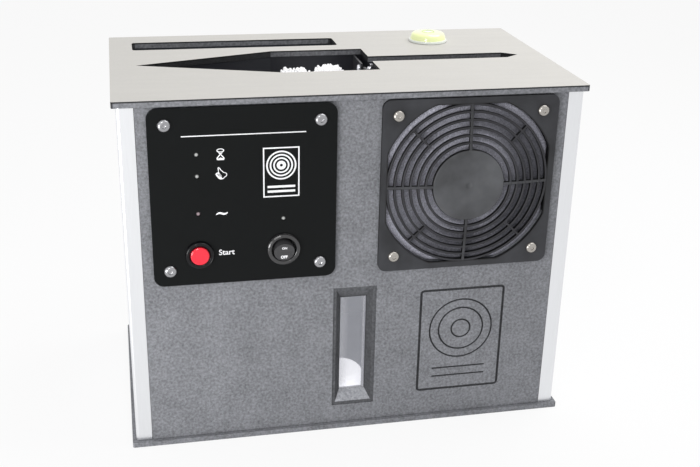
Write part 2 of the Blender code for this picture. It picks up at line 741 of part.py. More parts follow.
def front_panel(look):
    """The front board with its hatch, fan opening, screw holes, window and engraving."""
    fan = (FACE_SIDE, FACE_Z)
    controls = (-FACE_SIDE, FACE_Z)
    outlines = [
        panel_outline(),
        rounded_rectangle(HATCH_WIDTH, HATCH_HEIGHT, HATCH_CORNER, controls),
        flattened_circle(GUARD_OPENING + FIT, GUARD_FLAT + 2 * FIT, fan),
    ]
    for x, z in screw_places():
        outlines.append(circle(PANEL_SCREW / 2 + RUN, (controls[0] + x, controls[1] + z), 16))
        outlines.append(circle(GUARD_SCREW / 2 + RUN, (fan[0] + x, fan[1] + z), 16))
    board = plate("front_panel", outlines, BOARD, look, (0, FRONT_Y + BOARD, 0), FACING_FRONT)
    window_recess(board)
    engraving(board)


def rear_panel(look):
    """The rear board with the inlet's hole and a row of vents."""
    inlet = (-INLET_RIGHT, INLET_HEIGHT_AT)
    outlines = [
        panel_outline(),
        rectangle(INLET_BODY_WIDTH + 2 * FIT, INLET_BODY_HEIGHT + 2 * FIT, inlet),
    ]
    for n in range(VENT_COUNT):
        x = -SUPPLY_RIGHT + (n - (VENT_COUNT - 1) / 2) * VENT_STEP
        outlines.append(rounded_rectangle(VENT_WIDTH, VENT_HEIGHT, VENT_WIDTH / 2, (x, VENT_HEIGHT_AT), 2))
    plate("rear_panel", outlines, BOARD, look, (0, REAR_Y - BOARD, 0), FACING_REAR)


def build_case():
    """Plates, side shells, boards and the window pane."""
    board = finish("mottled grey board", (0.155, 0.160, 0.168), 0.55)
    metal = finish("silver sheet", (0.80, 0.81, 0.83), 0.30, 1.0)
    clear = finish("clear acrylic", (0.85, 0.87, 0.88), 0.05, 0.0, 0.3)
    footprint = rounded_rectangle(PLATE_WIDTH, PLATE_DEPTH, PLATE_CORNER)
    plate("base_plate", [footprint], BASE_THICKNESS, board)
    top = [footprint, slot_outline(0), fill_outline(0)]
    plate("top_plate", top, TOP_THICKNESS, board, (0, 0, OVERALL_HEIGHT - TOP_THICKNESS))
    side_shell("side_shell_left", -1, metal)
    side_shell("side_shell_right", 1, metal)
    front_panel(board)
    rear_panel(board)
    pane = (WINDOW_INNER_WIDTH + 2 * PANE_LAP, PANE_THICKNESS, WINDOW_INNER_HEIGHT + 2 * PANE_LAP)
    pane_y = FRONT_Y + BOARD + FIT + PANE_THICKNESS / 2
    box("window_pane", pane, (0, 0, 0), clear, (0, pane_y, WINDOW_RISE))


# Fasteners

def button_screw(name, size, head, length, x, z, look):
    """A button head screw with a hexagon socket, seated on a face plate."""
    rise = size * HEAD_RISE_SHARE
    steps = 3
    dome = [(head * sin(n * pi / 2 / steps), rise * cos(n * pi / 2 / steps)) for n in range(steps)]
    profile = [*dome, (head, FIT), (head, 0), (size / 2, 0), (size / 2, -length), (0, -length)]
    here = (x, FACE_Y - FACE_THICKNESS - FIT, z)
    screw = turned(name, profile, look, here, FACING_FRONT, 16)
    socket = rod(
        name + "_socket", size / 2 * SOCKET_SHARE, rise - size * SOCKET_DEPTH_SHARE, rise + OVERRUN,
        None, here, FACING_FRONT, 6,
    )
    cut(screw, socket)


def build_screws():
    """Four screws hold each face plate."""
    steel = finish("stainless steel", (0.62, 0.60, 0.57), 0.28, 1.0)
    panel = (PANEL_SCREW, PANEL_SCREW_HEAD / 2, PANEL_SCREW_LENGTH)
    guard = (GUARD_SCREW, GUARD_SCREW_HEAD / 2, GUARD_SCREW_LENGTH)
    for n, (x, z) in enumerate(screw_places(), 1):
        button_screw(f"panel_screw_{n}", *panel, x - FACE_SIDE, z + FACE_Z, steel)
        button_screw(f"guard_screw_{n}", *guard, x + FACE_SIDE, z + FACE_Z, steel)


# Controls

def led_places():
    """Lamp centres about the middle of the control panel."""
    return {
        "fill_lamp": (-LEFT_COLUMN, FILL_LED_RISE),
        "ready_lamp": (-LEFT_COLUMN, READY_LED_RISE),
        "wave_lamp": (-LEFT_COLUMN, -WAVE_LED_DROP),
        "power_lamp": (RIGHT_COLUMN, -POWER_LED_DROP),
    }


def control_panel(look):
    """The black panel with holes for its lamps, switches and screws."""
    outlines = [
        rounded_rectangle(FACE_SIZE, FACE_SIZE, FACE_CORNER, steps=5),
        circle(START_BARREL / 2 + FIT, (-LEFT_COLUMN, -START_DROP), 24),
        circle(ROCKER_BARREL / 2 + FIT, (RIGHT_COLUMN, -ROCKER_DROP), 24),
    ]
    outlines += [circle(LED_DIAMETER / 2 + FIT, centre, 12) for centre in led_places().values()]
    outlines += [circle(PANEL_SCREW / 2 + RUN, centre, 16) for centre in screw_places()]
    plate("control_panel", outlines, FACE_THICKNESS, look, (-FACE_SIDE, FACE_Y, FACE_Z), FACING_FRONT)


def start_switch(black, red):
    """A round push button: a black bezel with its barrel, and the red cap that slides in it."""
    here = (-FACE_SIDE - LEFT_COLUMN, FACE_Y - FACE_THICKNESS - FIT, FACE_Z - START_DROP)
    bore = START_CAP / 2 + RUN
    rim = START_BEZEL / 2
    crest = (bore + rim) / 2
    body = [
        (0, -START_WELL),
        (bore, -START_WELL),
        (bore, START_BEZEL_HEIGHT * BEZEL_INNER_SHARE),
        (crest - BEZEL_FLAT_SHARE * (crest - bore), START_BEZEL_HEIGHT),
        (crest + BEZEL_FLAT_SHARE * (rim - crest), START_BEZEL_HEIGHT),
        (rim, START_BEZEL_HEIGHT * BEZEL_OUTER_SHARE),
        (rim, 0),
        (START_BARREL / 2, 0),
        (START_BARREL / 2, -START_BARREL_LENGTH),
        (0, -START_BARREL_LENGTH),
    ]
    turned("start_switch_body", body, black, here, FACING_FRONT, 28)
    top = START_CAP_PROUD
    cap = START_CAP / 2
    profile = [
        (0, top - START_DISH),
        *[(cap * wide, top - START_DISH * deep) for wide, deep in CAP_DISH_SHARES],
        (cap * CAP_CREST_SHARE, top),
        (cap, top - START_DISH),
        (cap, top - START_CAP_DEPTH),
        (0, top - START_CAP_DEPTH),
    ]
    turned("start_button", profile, red, here, FACING_FRONT, 28)


def power_switch(black):
    """A round rocker switch: its bezel and barrel, and the rocker with its lower half pressed in."""
    here = (-FACE_SIDE + RIGHT_COLUMN, FACE_Y - FACE_THICKNESS - FIT, FACE_Z - ROCKER_DROP)
    bore = ROCKER_BORE / 2
    rim = ROCKER_BEZEL / 2
    middle = (bore + rim) / 2
    half = (rim - bore) / 2
    crest_steps = 5
    arc = [n * pi / crest_steps for n in range(crest_steps + 1)]
    foot = ROCKER_BEZEL_HEIGHT * ROCKER_FOOT_SHARE
    crest = [(middle - half * cos(a), foot + (ROCKER_BEZEL_HEIGHT - foot) * sin(a)) for a in arc]
    body = [
        (0, -ROCKER_WELL),
        (bore, -ROCKER_WELL),
        *crest,
        (rim, 0),
        (ROCKER_BARREL / 2, 0),
        (ROCKER_BARREL / 2, -ROCKER_BARREL_LENGTH),
        (0, -ROCKER_BARREL_LENGTH),
    ]
    turned("power_switch_body", body, black, here, FACING_FRONT, 28)
    pivot = (here[0], here[1] + ROCKER_PIVOT_DEPTH, here[2])
    tilted = (pi / 2 + ROCKER_TILT, 0, 0)
    radius = ROCKER_DIAMETER / 2
    rocker = rod("power_rocker", radius, -ROCKER_BELOW, ROCKER_END_HEIGHT, black, pivot, tilted, 28)
    reach = radius + OVERRUN
    slope = (ROCKER_END_HEIGHT - ROCKER_VALLEY_HEIGHT) / radius
    wing = ROCKER_VALLEY_HEIGHT + slope * reach
    roof = ROCKER_END_HEIGHT + OVERRUN
    valley = [(-reach, wing), (0, ROCKER_VALLEY_HEIGHT), (reach, wing), (reach, roof), (-reach, roof)]
    groove = plate("rocker_valley_cutter", [valley], 2 * reach, None, pivot, tilted)
    groove.data.transform(axis_swap(reach))
    cut(rocker, groove)


def axis_swap(reach):
    """Turn an outline's plane so that it spans Y and Z and runs along X."""
    turn = Matrix(((0, 0, 1, 0), (1, 0, 0, 0), (0, 1, 0, 0), (0, 0, 0, 1)))
    return turn @ Matrix.Translation((0, 0, -reach))


def lamps(look):
    """Round-headed indicator lamps that reach back to the circuit board."""
    radius = LED_DIAMETER / 2
    for name, (x, z) in led_places().items():
        profile = [
            (0, LED_PROUD),
            (radius * LED_CROWN_SHARE, LED_PROUD / 2),
            (radius, -LED_PROUD),
            (radius, -LED_LENGTH),
            (0, -LED_LENGTH),
        ]
        here = (x - FACE_SIDE, FACE_Y - FACE_THICKNESS, z + FACE_Z)
        turned(name, profile, look, here, FACING_FRONT, 12)


def control_board(look):
    """The circuit board on four pillars behind the control panel."""
    here = (-FACE_SIDE, CIRCUIT_Y, FACE_Z + CIRCUIT_RISE)
    sheet = rectangle(CIRCUIT_WIDTH, CIRCUIT_HEIGHT)
    board = plate(
        "control_board", [sheet], CIRCUIT_THICKNESS, look,
        (here[0], here[1] + CIRCUIT_THICKNESS, here[2]), FACING_FRONT,
    )
    inset_x = HATCH_WIDTH / 2 - PILLAR_INSET
    inset_z = CIRCUIT_HEIGHT / 2 - PILLAR_INSET
    reach = here[1] - FACE_Y - FIT
    for side_x in (-1, 1):
        for side_z in (-1, 1):
            pillar = rod(
                "pillar", PILLAR / 2, -SINK, reach, None, here, FACING_FRONT, 12,
                (side_x * inset_x, side_z * inset_z),
            )
            join(board, pillar)
    low = -CIRCUIT_THICKNESS - PART_HEIGHT
    middle = (low - CIRCUIT_THICKNESS + SINK) / 2
    for side, size in ((-1, RELAY_SIZE), (1, CHIP_SIZE)):
        block = box(
            "board_part", (size, size, PART_HEIGHT + SINK),
            (side * CIRCUIT_WIDTH / 4, 0, middle), None, here, FACING_FRONT,
        )
        join(board, block)


def build_controls():
    """Everything on the control panel."""
    black = finish("gloss black", (0.012, 0.012, 0.014), 0.12)
    plastic = finish("black plastic", (0.015, 0.015, 0.017), 0.30)
    red = finish("red plastic", (0.70, 0.02, 0.02), 0.25)
    lens = finish("dark lamp", (0.05, 0.05, 0.06), 0.20)
    green = finish("circuit board", (0.02, 0.16, 0.08), 0.45)
    control_panel(black)
    start_switch(plastic, red)
    power_switch(plastic)
    lamps(lens)
    control_board(green)


# Fan

def guard_front(radius):
    """Height of the domed grille's front at a radius, above the guard's back."""
    return FACE_THICKNESS + GUARD_DOME * (1 - (radius / GUARD_FLAT) ** 2)


def spoke(name, start, end, angle, here):
    """A sloping bar between two radii, just under the rings' fronts."""
    drop = GUARD_BAR_DEPTH * SPOKE_DROP_SHARE
    rise = guard_front(start) - guard_front(end)
    length = hypot(end - start, rise)
    bar = box(name, (length, GUARD_SPOKE, GUARD_BAR_DEPTH - 2 * drop), (0, 0, 0), None, here, FACING_FRONT)
    lean = Matrix.Rotation(atan2(rise, end - start), 4, "Y")
    height = (guard_front(start) + guard_front(end)) / 2 - GUARD_BAR_DEPTH / 2
    out = Matrix.Translation(((start + end) / 2, 0, height))
    bar.data.transform(Matrix.Rotation(angle, 4, "Z") @ out @ lean)
    return bar


def fan_guard(look):
    """A square frame with a domed grille of rings, spokes and a solid middle."""
    here = (FACE_SIDE, FACE_Y, FACE_Z)
    outlines = [
        rounded_rectangle(FACE_SIZE, FACE_SIZE, GUARD_CORNER, steps=4),
        flattened_circle(GUARD_OPENING, GUARD_FLAT, steps=8),
    ]
    outlines += [circle(GUARD_SCREW / 2 + RUN, centre, 16) for centre in screw_places()]
    guard = plate("fan_guard", outlines, FACE_THICKNESS, look, here, FACING_FRONT)
    for number, radius in enumerate(GUARD_RING_RADII, 1):
        front = guard_front(radius)
        outer = radius + GUARD_BAR / 2
        inner = radius - GUARD_BAR / 2
        back = front - GUARD_BAR_DEPTH
        section = [(outer, front), (outer, back), (inner, back), (inner, front)]
        join(guard, turned(f"ring_{number}", section, None, here, FACING_FRONT, 36, True))
    hub_front = guard_front(GUARD_HUB)
    hub = rod("guard_hub", GUARD_HUB, hub_front - GUARD_BAR_DEPTH, hub_front, None, here, FACING_FRONT, 36)
    join(guard, hub)
    for quarter in range(4):
        angle = quarter * pi / 2
        join(guard, spoke("long_spoke", GUARD_HUB - GUARD_BAR, GUARD_FLAT + GUARD_BAR, angle, here))
        end = GUARD_RING_RADII[-1]
        start = GUARD_RING_RADII[INNER_RING_COUNT]
        join(guard, spoke("short_spoke", start, end, angle + pi / 4, here))
        join(guard, corner_tie(angle + pi / 4, here))


def corner_tie(angle, here):
    """The short bar that holds the outermost ring to the frame across each corner gap."""
    start = GUARD_RING_RADII[-1]
    end = GUARD_OPENING + GUARD_BAR
    length = end - start
    tie = box(
        "corner_tie", (length, GUARD_SPOKE, FACE_THICKNESS / 2),
        ((start + end) / 2, 0, FACE_THICKNESS / 4 + SINK / 2), None, here, FACING_FRONT,
    )
    tie.data.transform(Matrix.Rotation(angle, 4, "Z"))
    return tie


def fan_housing(look):
    """The fan's square frame, with a boss on four struts at its back."""
    here = (FACE_SIDE, FRONT_Y + BOARD + FIT + FAN_DEPTH, FACE_Z)
    outlines = [rounded_rectangle(FAN_SIZE, FAN_SIZE, FAN_CORNER), circle(FAN_BORE, sides=48)]
    outlines += [circle(GUARD_SCREW / 2 + RUN, centre, 12) for centre in screw_places()]
    frame = plate("fan_housing", outlines, FAN_DEPTH, look, here, FACING_FRONT)
    join(frame, rod("fan_boss", FAN_BOSS, 0, FAN_BOSS_DEPTH, None, here, FACING_FRONT, 32))
    length = FAN_BORE - FAN_BOSS + 2 * OVERRUN
    for quarter in range(4):
        arm = box(
            "fan_strut", (length, FAN_STRUT, FAN_BOSS_DEPTH - 2 * SINK),
            ((FAN_BORE + FAN_BOSS) / 2, 0, FAN_BOSS_DEPTH / 2), None, here, FACING_FRONT,
        )
        arm.data.transform(Matrix.Rotation(quarter * pi / 2, 4, "Z"))
        join(frame, arm)
    bore = FAN_SPINDLE + RUN
    hole = rod("fan_bearing", bore, -OVERRUN, FAN_BOSS_DEPTH + OVERRUN, None, here, FACING_FRONT, 16)
    cut(frame, hole)


def fan_rotor(look):
    """The hub with its pitched blades and the spindle that runs in the boss."""
    here = (FACE_SIDE, FRONT_Y + BOARD + FIT + FAN_DEPTH, FACE_Z)
    low = FAN_BOSS_DEPTH + FIT
    high = low + FAN_HUB_LENGTH
    rotor = rod("fan_rotor", FAN_HUB, low, high, look, here, FACING_FRONT, 28)
    join(rotor, rod("fan_spindle", FAN_SPINDLE, FIT, low + SINK, None, here, FACING_FRONT, 16))
    root = FAN_HUB - OVERRUN
    for n in range(BLADE_COUNT):
        size = (BLADE_REACH - root, BLADE_CHORD, BLADE_THICKNESS)
        blade = box("blade", size, (0, 0, 0), None, here, FACING_FRONT)
        pitched = Matrix.Rotation(BLADE_PITCH, 4, "X")
        out = Matrix.Translation(((BLADE_REACH + root) / 2, 0, (low + high) / 2))
        blade.data.transform(Matrix.Rotation(2 * pi * n / BLADE_COUNT, 4, "Z") @ out @ pitched)
        join(rotor, blade)


def build_fan():
    """Guard, foam, housing and rotor."""
    satin = finish("satin black plastic", (0.042, 0.044, 0.048), 0.42)
    plastic = finish("fan plastic", (0.02, 0.02, 0.022), 0.40)
    foam = finish("grey foam", (0.20, 0.19, 0.23), 0.95)
    fan_guard(satin)
    outline = flattened_circle(GUARD_OPENING, GUARD_FLAT + FIT, steps=8)
    back = FRONT_Y + BOARD - FIT
    plate("fan_filter", [outline], FOAM_THICKNESS, foam, (FACE_SIDE, back, FACE_Z), FACING_FRONT)
    fan_housing(plastic)
    fan_rotor(plastic)


# Washing basin

def roller_places():
    """The four roller axes, named by where they stand."""
    half = ROLLER_PITCH / 2
    return {
        "front_left": (-ROLLER_SHIFT - half, -half, 0),
        "front_right": (-ROLLER_SHIFT + half, -half, 1),
        "rear_left": (-ROLLER_SHIFT - half, half, 1),
        "rear_right": (-ROLLER_SHIFT + half, half, 0),
    }


def wash_basin(look):
    """The trough under the record slot, with holes for spindles, shafts, inlet and drain."""
    basin = open_tray("wash_basin", slot_outline(BASIN_MARGIN), FLOOR_Z, BODY_TOP, BASIN_WALL, look)
    low = UNDER_Z - OVERRUN
    high = FLOOR_Z + OVERRUN
    for x, y, _ in roller_places().values():
        cut(basin, rod("spindle_hole", SPINDLE_RADIUS + RUN, low, high, None, (x, y, 0)))
    cut(basin, rod("inlet_hole", HOSE_BORE, low, high, None, (-PUMP_LEFT, 0, 0), sides=16))
    cut(basin, rod("drain_hole", HOSE_BORE, low, high, None, (VALVE_RIGHT, 0, 0), sides=16))
    wall = BASIN_HALF + OVERRUN
    bore = AXLE_RADIUS + RUN
    cut(basin, rod("axle_holes", bore, -wall, wall, None, (-WHEEL_X, 0, WHEEL_Z), FACING_FRONT, 16))
    cut(basin, rod("shaft_hole", bore, 0, wall, None, (WHEEL_X, 0, WHEEL_Z), FACING_FRONT, 16))


def roller(name, x, y, half_tooth, metal, cloth):
    """A microfibre sleeve on its spindle, whose gear sits under the basin floor."""
    sleeve = rod(f"roller_sleeve_{name}", ROLLER_RADIUS, 0, ROLLER_LENGTH, cloth, (x, y, SLEEVE_Z), sides=28)
    bore = SPINDLE_RADIUS + RUN
    end = ROLLER_LENGTH + OVERRUN
    cut(sleeve, rod("sleeve_bore", bore, -OVERRUN, end, None, (x, y, SLEEVE_Z), sides=16))
    top = SLEEVE_Z + ROLLER_LENGTH + SPINDLE_PROUD
    foot = CASE_BOTTOM + FIT
    spindle = rod(f"roller_spindle_{name}", SPINDLE_RADIUS, foot, top, metal, (x, y, 0), sides=16)
    low = FLOOR_Z + FLANGE_GAP
    join(spindle, rod("flange", SPINDLE_FLANGE, low, low + SPINDLE_FLANGE_HEIGHT, None, (x, y, 0), sides=20))
    phase = half_tooth * pi / ROLLER_TEETH
    join(spindle, plate("gear", [gear_outline(ROLLER_TEETH, phase)], GEAR_WIDTH, None, (x, y, GEAR_Z)))


def gear_case(look):
    """The open-topped case that closes off the gears from below and carries the spindles' ends."""
    reach = ROLLER_PITCH / 2 + MODULE * (ROLLER_TEETH / 2 + 1) + GEAR_ROOM
    left = PINION_X - MODULE * (PINION_TEETH / 2 + 1) - GEAR_ROOM
    right = -ROLLER_SHIFT + reach
    outline = rectangle(right - left, 2 * reach, ((left + right) / 2, 0))
    case = open_tray("gear_case", outline, CASE_BOTTOM + GEAR_CASE_WALL, CASE_TOP, GEAR_CASE_WALL, look)
    low = CASE_BOTTOM - OVERRUN
    high = CASE_BOTTOM + GEAR_CASE_WALL + OVERRUN
    for x, y, _ in roller_places().values():
        cut(case, rod("bearing_hole", SPINDLE_RADIUS + RUN, low, high, None, (x, y, 0)))
    cut(case, rod("pinion_hole", MOTOR_SHAFT + RUN, low, high, None, (PINION_X, PINION_Y, 0)))


def roller_drive(look, metal):
    """The motor that stands on the tank lid, and the pinion on its shaft."""
    low = LID_TOP + FIT
    high = CASE_BOTTOM - FIT
    motor = rod("roller_motor", MOTOR_RADIUS, low, high, look, (PINION_X, PINION_Y, 0), sides=28)
    well = rod(
        "motor_well", MOTOR_SHAFT + RUN, high - MOTOR_SHAFT_DEPTH - FIT, high + OVERRUN,
        None, (PINION_X, PINION_Y, 0), sides=16,
    )
    cut(motor, well)
    teeth = gear_outline(PINION_TEETH, pi / PINION_TEETH)
    pinion = plate("drive_pinion", [teeth], GEAR_WIDTH, metal, (PINION_X, PINION_Y, GEAR_Z))
    bottom = high - MOTOR_SHAFT_DEPTH - GEAR_Z
    join(pinion, rod("pinion_shaft", MOTOR_SHAFT, bottom, SINK, None, (PINION_X, PINION_Y, GEAR_Z), sides=16))


def wheel_profile(bore):
    """A tyre with a shallow groove for the record's rim, round a bore or solid."""
    half = WHEEL_WIDTH / 2
    lip = WHEEL_WIDTH * WHEEL_LIP_SHARE
    outer = [
        (WHEEL_RADIUS, half),
        (WHEEL_RADIUS, half - lip),
        (WHEEL_RADIUS - WHEEL_GROOVE, 0),
        (WHEEL_RADIUS, lip - half),
        (WHEEL_RADIUS, -half),
    ]
    return [(bore, half), *outer, (bore, -half)]


def record_wheels(rubber, metal, dark):
    """The driven wheel with its motor on the right, and the loose wheel on its pin on the left."""
    here = (WHEEL_X, 0, WHEEL_Z)
    wall = SLOT_NARROW_HALF + BASIN_MARGIN + BASIN_WALL
    wheel = turned("record_drive_wheel", wheel_profile(0), rubber, here, FACING_FRONT, 20)
    end = wall + FIT + DRIVE_SHAFT_DEPTH
    join(wheel, rod("drive_shaft", AXLE_RADIUS, WHEEL_WIDTH / 2 - SINK, end, None, here, FACING_FRONT, 14))
    start = wall + FIT
    far = start + DRIVE_MOTOR_LENGTH
    motor = rod("record_drive_motor", DRIVE_MOTOR_RADIUS, start, far, dark, here, FACING_FRONT, 28)
    well = rod("drive_well", AXLE_RADIUS + RUN, start - OVERRUN, end + FIT, None, here, FACING_FRONT, 14)
    cut(motor, well)
    there = (-WHEEL_X, 0, WHEEL_Z)
    turned("support_wheel", wheel_profile(AXLE_RADIUS + RUN), rubber, there, FACING_FRONT, 20, True)
    half = left_half_width(WHEEL_X) + AXLE_PROUD
    rod("support_axle", AXLE_RADIUS, -half, half, metal, there, FACING_FRONT, 14)


def left_half_width(x):
    """Half width over the basin's walls in its left V, at a distance x left of the middle."""
    share = (SLOT_LEFT + BASIN_MARGIN - x) / (SLOT_LEFT + BASIN_MARGIN - MOUTH_LEFT)
    return (MOUTH_HALF + BASIN_MARGIN) * share + BASIN_WALL


def record_guides(look):
    """Two brackets at the right of the mouth, one on each side of the record."""
    wall = MOUTH_HALF + BASIN_MARGIN - FIT
    top = BODY_TOP - FIT
    middle_y = (wall + GUIDE_SLIT) / 2
    for name, side in (("front", -1), ("rear", 1)):
        bracket = box(
            f"record_guide_{name}",
            (GUIDE_THICKNESS, wall - GUIDE_SLIT, GUIDE_HEIGHT),
            (GUIDE_X + GUIDE_THICKNESS / 2, side * middle_y, top - GUIDE_HEIGHT / 2),
            look,
        )
        right = MOUTH_RIGHT + BASIN_MARGIN - FIT
        left = GUIDE_X + GUIDE_THICKNESS - SINK
        block_y = wall - GUIDE_BLOCK_FROM_WALL - GUIDE_BLOCK_WIDTH / 2
        block = box(
            "guide_block",
            (right - left, GUIDE_BLOCK_WIDTH, GUIDE_BLOCK_HEIGHT),
            ((right + left) / 2, side * block_y, top - GUIDE_BLOCK_HEIGHT),
        )
        join(bracket, block)


def transducers(look):
    """A stack of end masses and ceramic rings against each long wall of the basin."""
    shares = reversed(TRANSDUCER_SHARES)
    flank = [(TRANSDUCER_RADIUS * wide, TRANSDUCER_LENGTH * far) for far, wide in shares]
    profile = [(0, TRANSDUCER_LENGTH), *flank, (0, 0)]
    z = BODY_TOP - TRANSDUCER_DROP
    y = BASIN_HALF + FIT
    turned("transducer_front", profile, look, (-TRANSDUCER_LEFT, -y, z), FACING_FRONT, 24)
    turned("transducer_rear", profile, look, (-TRANSDUCER_LEFT, y, z), FACING_REAR, 24)


def build_washer():
    """The basin with its rollers, gears, wheels, guides and transducers."""
    dark = finish("dark basin plastic", (0.018, 0.018, 0.020), 0.40)
    metal = finish("machined steel", (0.55, 0.55, 0.56), 0.30, 1.0)
    cloth = finish("white microfibre", (0.90, 0.90, 0.90), 0.95)
    rubber = finish("black rubber", (0.02, 0.02, 0.02), 0.80)
    bracket = finish("dark bracket metal", (0.10, 0.10, 0.11), 0.45, 0.8)
    silver = finish("aluminium", (0.70, 0.70, 0.72), 0.35, 1.0)
    wash_basin(dark)
    for name, (x, y, half_tooth) in roller_places().items():
        roller(name, x, y, half_tooth, metal, cloth)
    gear_case(dark)
    roller_drive(silver, metal)
    record_wheels(rubber, metal, silver)
    record_guides(bracket)
    transducers(silver)


# Water

def water_tank(look):
    """The tank under the lid, with a hole in its front wall behind the pane."""
    inner_front = TANK_FRONT + TANK_WALL
    inner_rear = TANK_REAR - TANK_WALL
    width = 2 * (TANK_HALF_X - TANK_WALL)
    outline = rectangle(width, inner_rear - inner_front, (0, (inner_rear + inner_front) / 2))
    tank = open_tray("water_tank", outline, BODY_BOTTOM + TANK_WALL, TANK_TOP, TANK_WALL, look)
    size = (WINDOW_INNER_WIDTH + PANE_LAP, TANK_WALL + 2 * OVERRUN, WINDOW_INNER_HEIGHT + PANE_LAP)
    cut(tank, box("tank_window_cutter", size, (0, 0, 0), None, (0, TANK_FRONT + TANK_WALL / 2, WINDOW_RISE)))


def tank_lid(look):
    """The shelf over the tank, with holes for the filling chute, the hose and the drain pipe."""
    outline = rectangle(2 * TANK_HALF_X, TANK_REAR - TANK_FRONT, (0, (TANK_REAR + TANK_FRONT) / 2))
    outlines = [
        outline,
        circle(CHUTE_RADIUS + FIT, (-CHUTE_LEFT, FILL_SLOT_BACK), 24),
        circle(HOSE_RADIUS + FIT, (-PUMP_LEFT, 0), 16),
        circle(HOSE_RADIUS + FIT, (VALVE_RIGHT, 0), 16),
    ]
    plate("tank_lid", outlines, LID_THICKNESS, look, (0, 0, LID_BOTTOM))


def water_path(white, dark, clear):
    """Filter cartridge, pump, hose to the basin, and the drain valve back to the tank."""
    profile = [
        (0, FILTER_HEIGHT),
        (FILTER_RADIUS - FILTER_EDGE, FILTER_HEIGHT),
        (FILTER_RADIUS, FILTER_HEIGHT - FILTER_EDGE),
        (FILTER_RADIUS, 0),
        (0, 0),
    ]
    filter_y = FRONT_Y + FILTER_SETBACK + BOARD + PANE_THICKNESS + FIT
    turned("filter_cartridge", profile, white, (-FILTER_LEFT, filter_y, TANK_FLOOR), LYING, 32)
    here = (-PUMP_LEFT, 0, TANK_FLOOR)
    pump = box("water_pump", (PUMP_WIDTH, PUMP_DEPTH, PUMP_HEIGHT), (0, 0, PUMP_HEIGHT / 2), dark, here)
    top = PUMP_HEIGHT + PUMP_PORT_HEIGHT
    join(pump, rod("pump_port", PUMP_PORT, PUMP_HEIGHT - SINK, top, None, here, sides=16))
    low = TANK_FLOOR + top + FIT
    high = UNDER_Z - FIT
    hose = rod("supply_hose", HOSE_RADIUS, low, high, clear, (-PUMP_LEFT, 0, 0), sides=16)
    cut(hose, rod("hose_bore", HOSE_BORE, low - OVERRUN, high + OVERRUN, None, (-PUMP_LEFT, 0, 0), sides=12))
    body_low = high - VALVE_HEIGHT
    size = (VALVE_WIDTH, VALVE_DEPTH, VALVE_HEIGHT)
    valve = box("drain_valve", size, (VALVE_RIGHT, 0, high - VALVE_HEIGHT / 2), dark)
    foot = LID_BOTTOM - VALVE_PIPE_DIP
    join(valve, rod("drain_pipe", HOSE_RADIUS, foot, body_low + SINK, None, (VALVE_RIGHT, 0, 0), sides=16))
    far = high + OVERRUN
    cut(valve, rod("drain_bore", HOSE_BORE, foot - OVERRUN, far, None, (VALVE_RIGHT, 0, 0), sides=12))


def fill_trough(look):
    """The trough under the filling slot, and the chute that leads from it into the tank."""
    floor = BODY_TOP - TROUGH_DEPTH
    trough = open_tray("fill_trough", fill_outline(BASIN_MARGIN), floor, BODY_TOP, TROUGH_WALL, look)
    here = (-CHUTE_LEFT, FILL_SLOT_BACK, 0)
    foot = LID_BOTTOM - CHUTE_DIP
    join(trough, rod("chute", CHUTE_RADIUS, foot, floor - TROUGH_WALL / 2, None, here, sides=20))
    cut(trough, rod("chute_bore", CHUTE_BORE, foot - OVERRUN, floor + OVERRUN, None, here, sides=20))


def build_water():
    """Tank, lid, filter, pump, hose, valve and filling trough."""
    tank = finish("grey tank plastic", (0.42, 0.42, 0.43), 0.35)
    white = finish("white filter", (0.88, 0.88, 0.90), 0.60)
    dark = finish("pump plastic", (0.03, 0.03, 0.035), 0.45)
    hose = finish("hose silicone", (0.55, 0.56, 0.58), 0.40)
    shade = finish("trough plastic", (0.05, 0.055, 0.06), 0.35)
    water_tank(tank)
    tank_lid(tank)
    water_path(white, dark, hose)
    fill_trough(shade)


# Power

def power_inlet(look):
    """A three-pin appliance inlet: flange, body, mouth and pins."""
    here = (INLET_RIGHT, REAR_Y + FIT, INLET_HEIGHT_AT)
    flange = [rounded_rectangle(INLET_FLANGE_WIDTH, INLET_FLANGE_HEIGHT, INLET_FLANGE_CORNER)]
    inlet = plate("power_inlet", flange, INLET_FLANGE_THICKNESS, look, here, FACING_REAR)
    size = (INLET_BODY_WIDTH, INLET_BODY_HEIGHT, INLET_BODY_DEPTH + SINK)
    join(inlet, box("inlet_body", size, (0, 0, (SINK - INLET_BODY_DEPTH) / 2), None, here, FACING_REAR))
    floor = INLET_FLANGE_THICKNESS - INLET_MOUTH_DEPTH
    mouth = (INLET_MOUTH_WIDTH, INLET_MOUTH_HEIGHT, INLET_MOUTH_DEPTH + OVERRUN)
    middle = (floor + INLET_FLANGE_THICKNESS + OVERRUN) / 2
    cut(inlet, box("inlet_mouth", mouth, (0, 0, middle), None, here, FACING_REAR))
    pin = (PIN_WIDTH, PIN_HEIGHT, PIN_LENGTH + SINK)
    centre = floor + (PIN_LENGTH - SINK) / 2
    for x, y in ((-PIN_SPREAD, PIN_RISE), (0, EARTH_RISE), (PIN_SPREAD, PIN_RISE)):
        join(inlet, box("inlet_pin", pin, (x, y, centre), None, here, FACING_REAR))


def build_power():
    """Power supply on the lid, and the rear inlet."""
    case = finish("supply case", (0.60, 0.60, 0.62), 0.40, 1.0)
    plastic = finish("inlet plastic", (0.02, 0.02, 0.022), 0.35)
    size = (SUPPLY_END - SUPPLY_START, SUPPLY_DEPTH, SUPPLY_HEIGHT)
    y = TANK_REAR - SUPPLY_SETBACK - SUPPLY_DEPTH / 2
    supply = box("power_supply", size, (0, 0, 0), case, (SUPPLY_RIGHT, y, LID_TOP + FIT + SUPPLY_HEIGHT / 2))
    soften(supply, SUPPLY_EDGE)
    power_inlet(plastic)


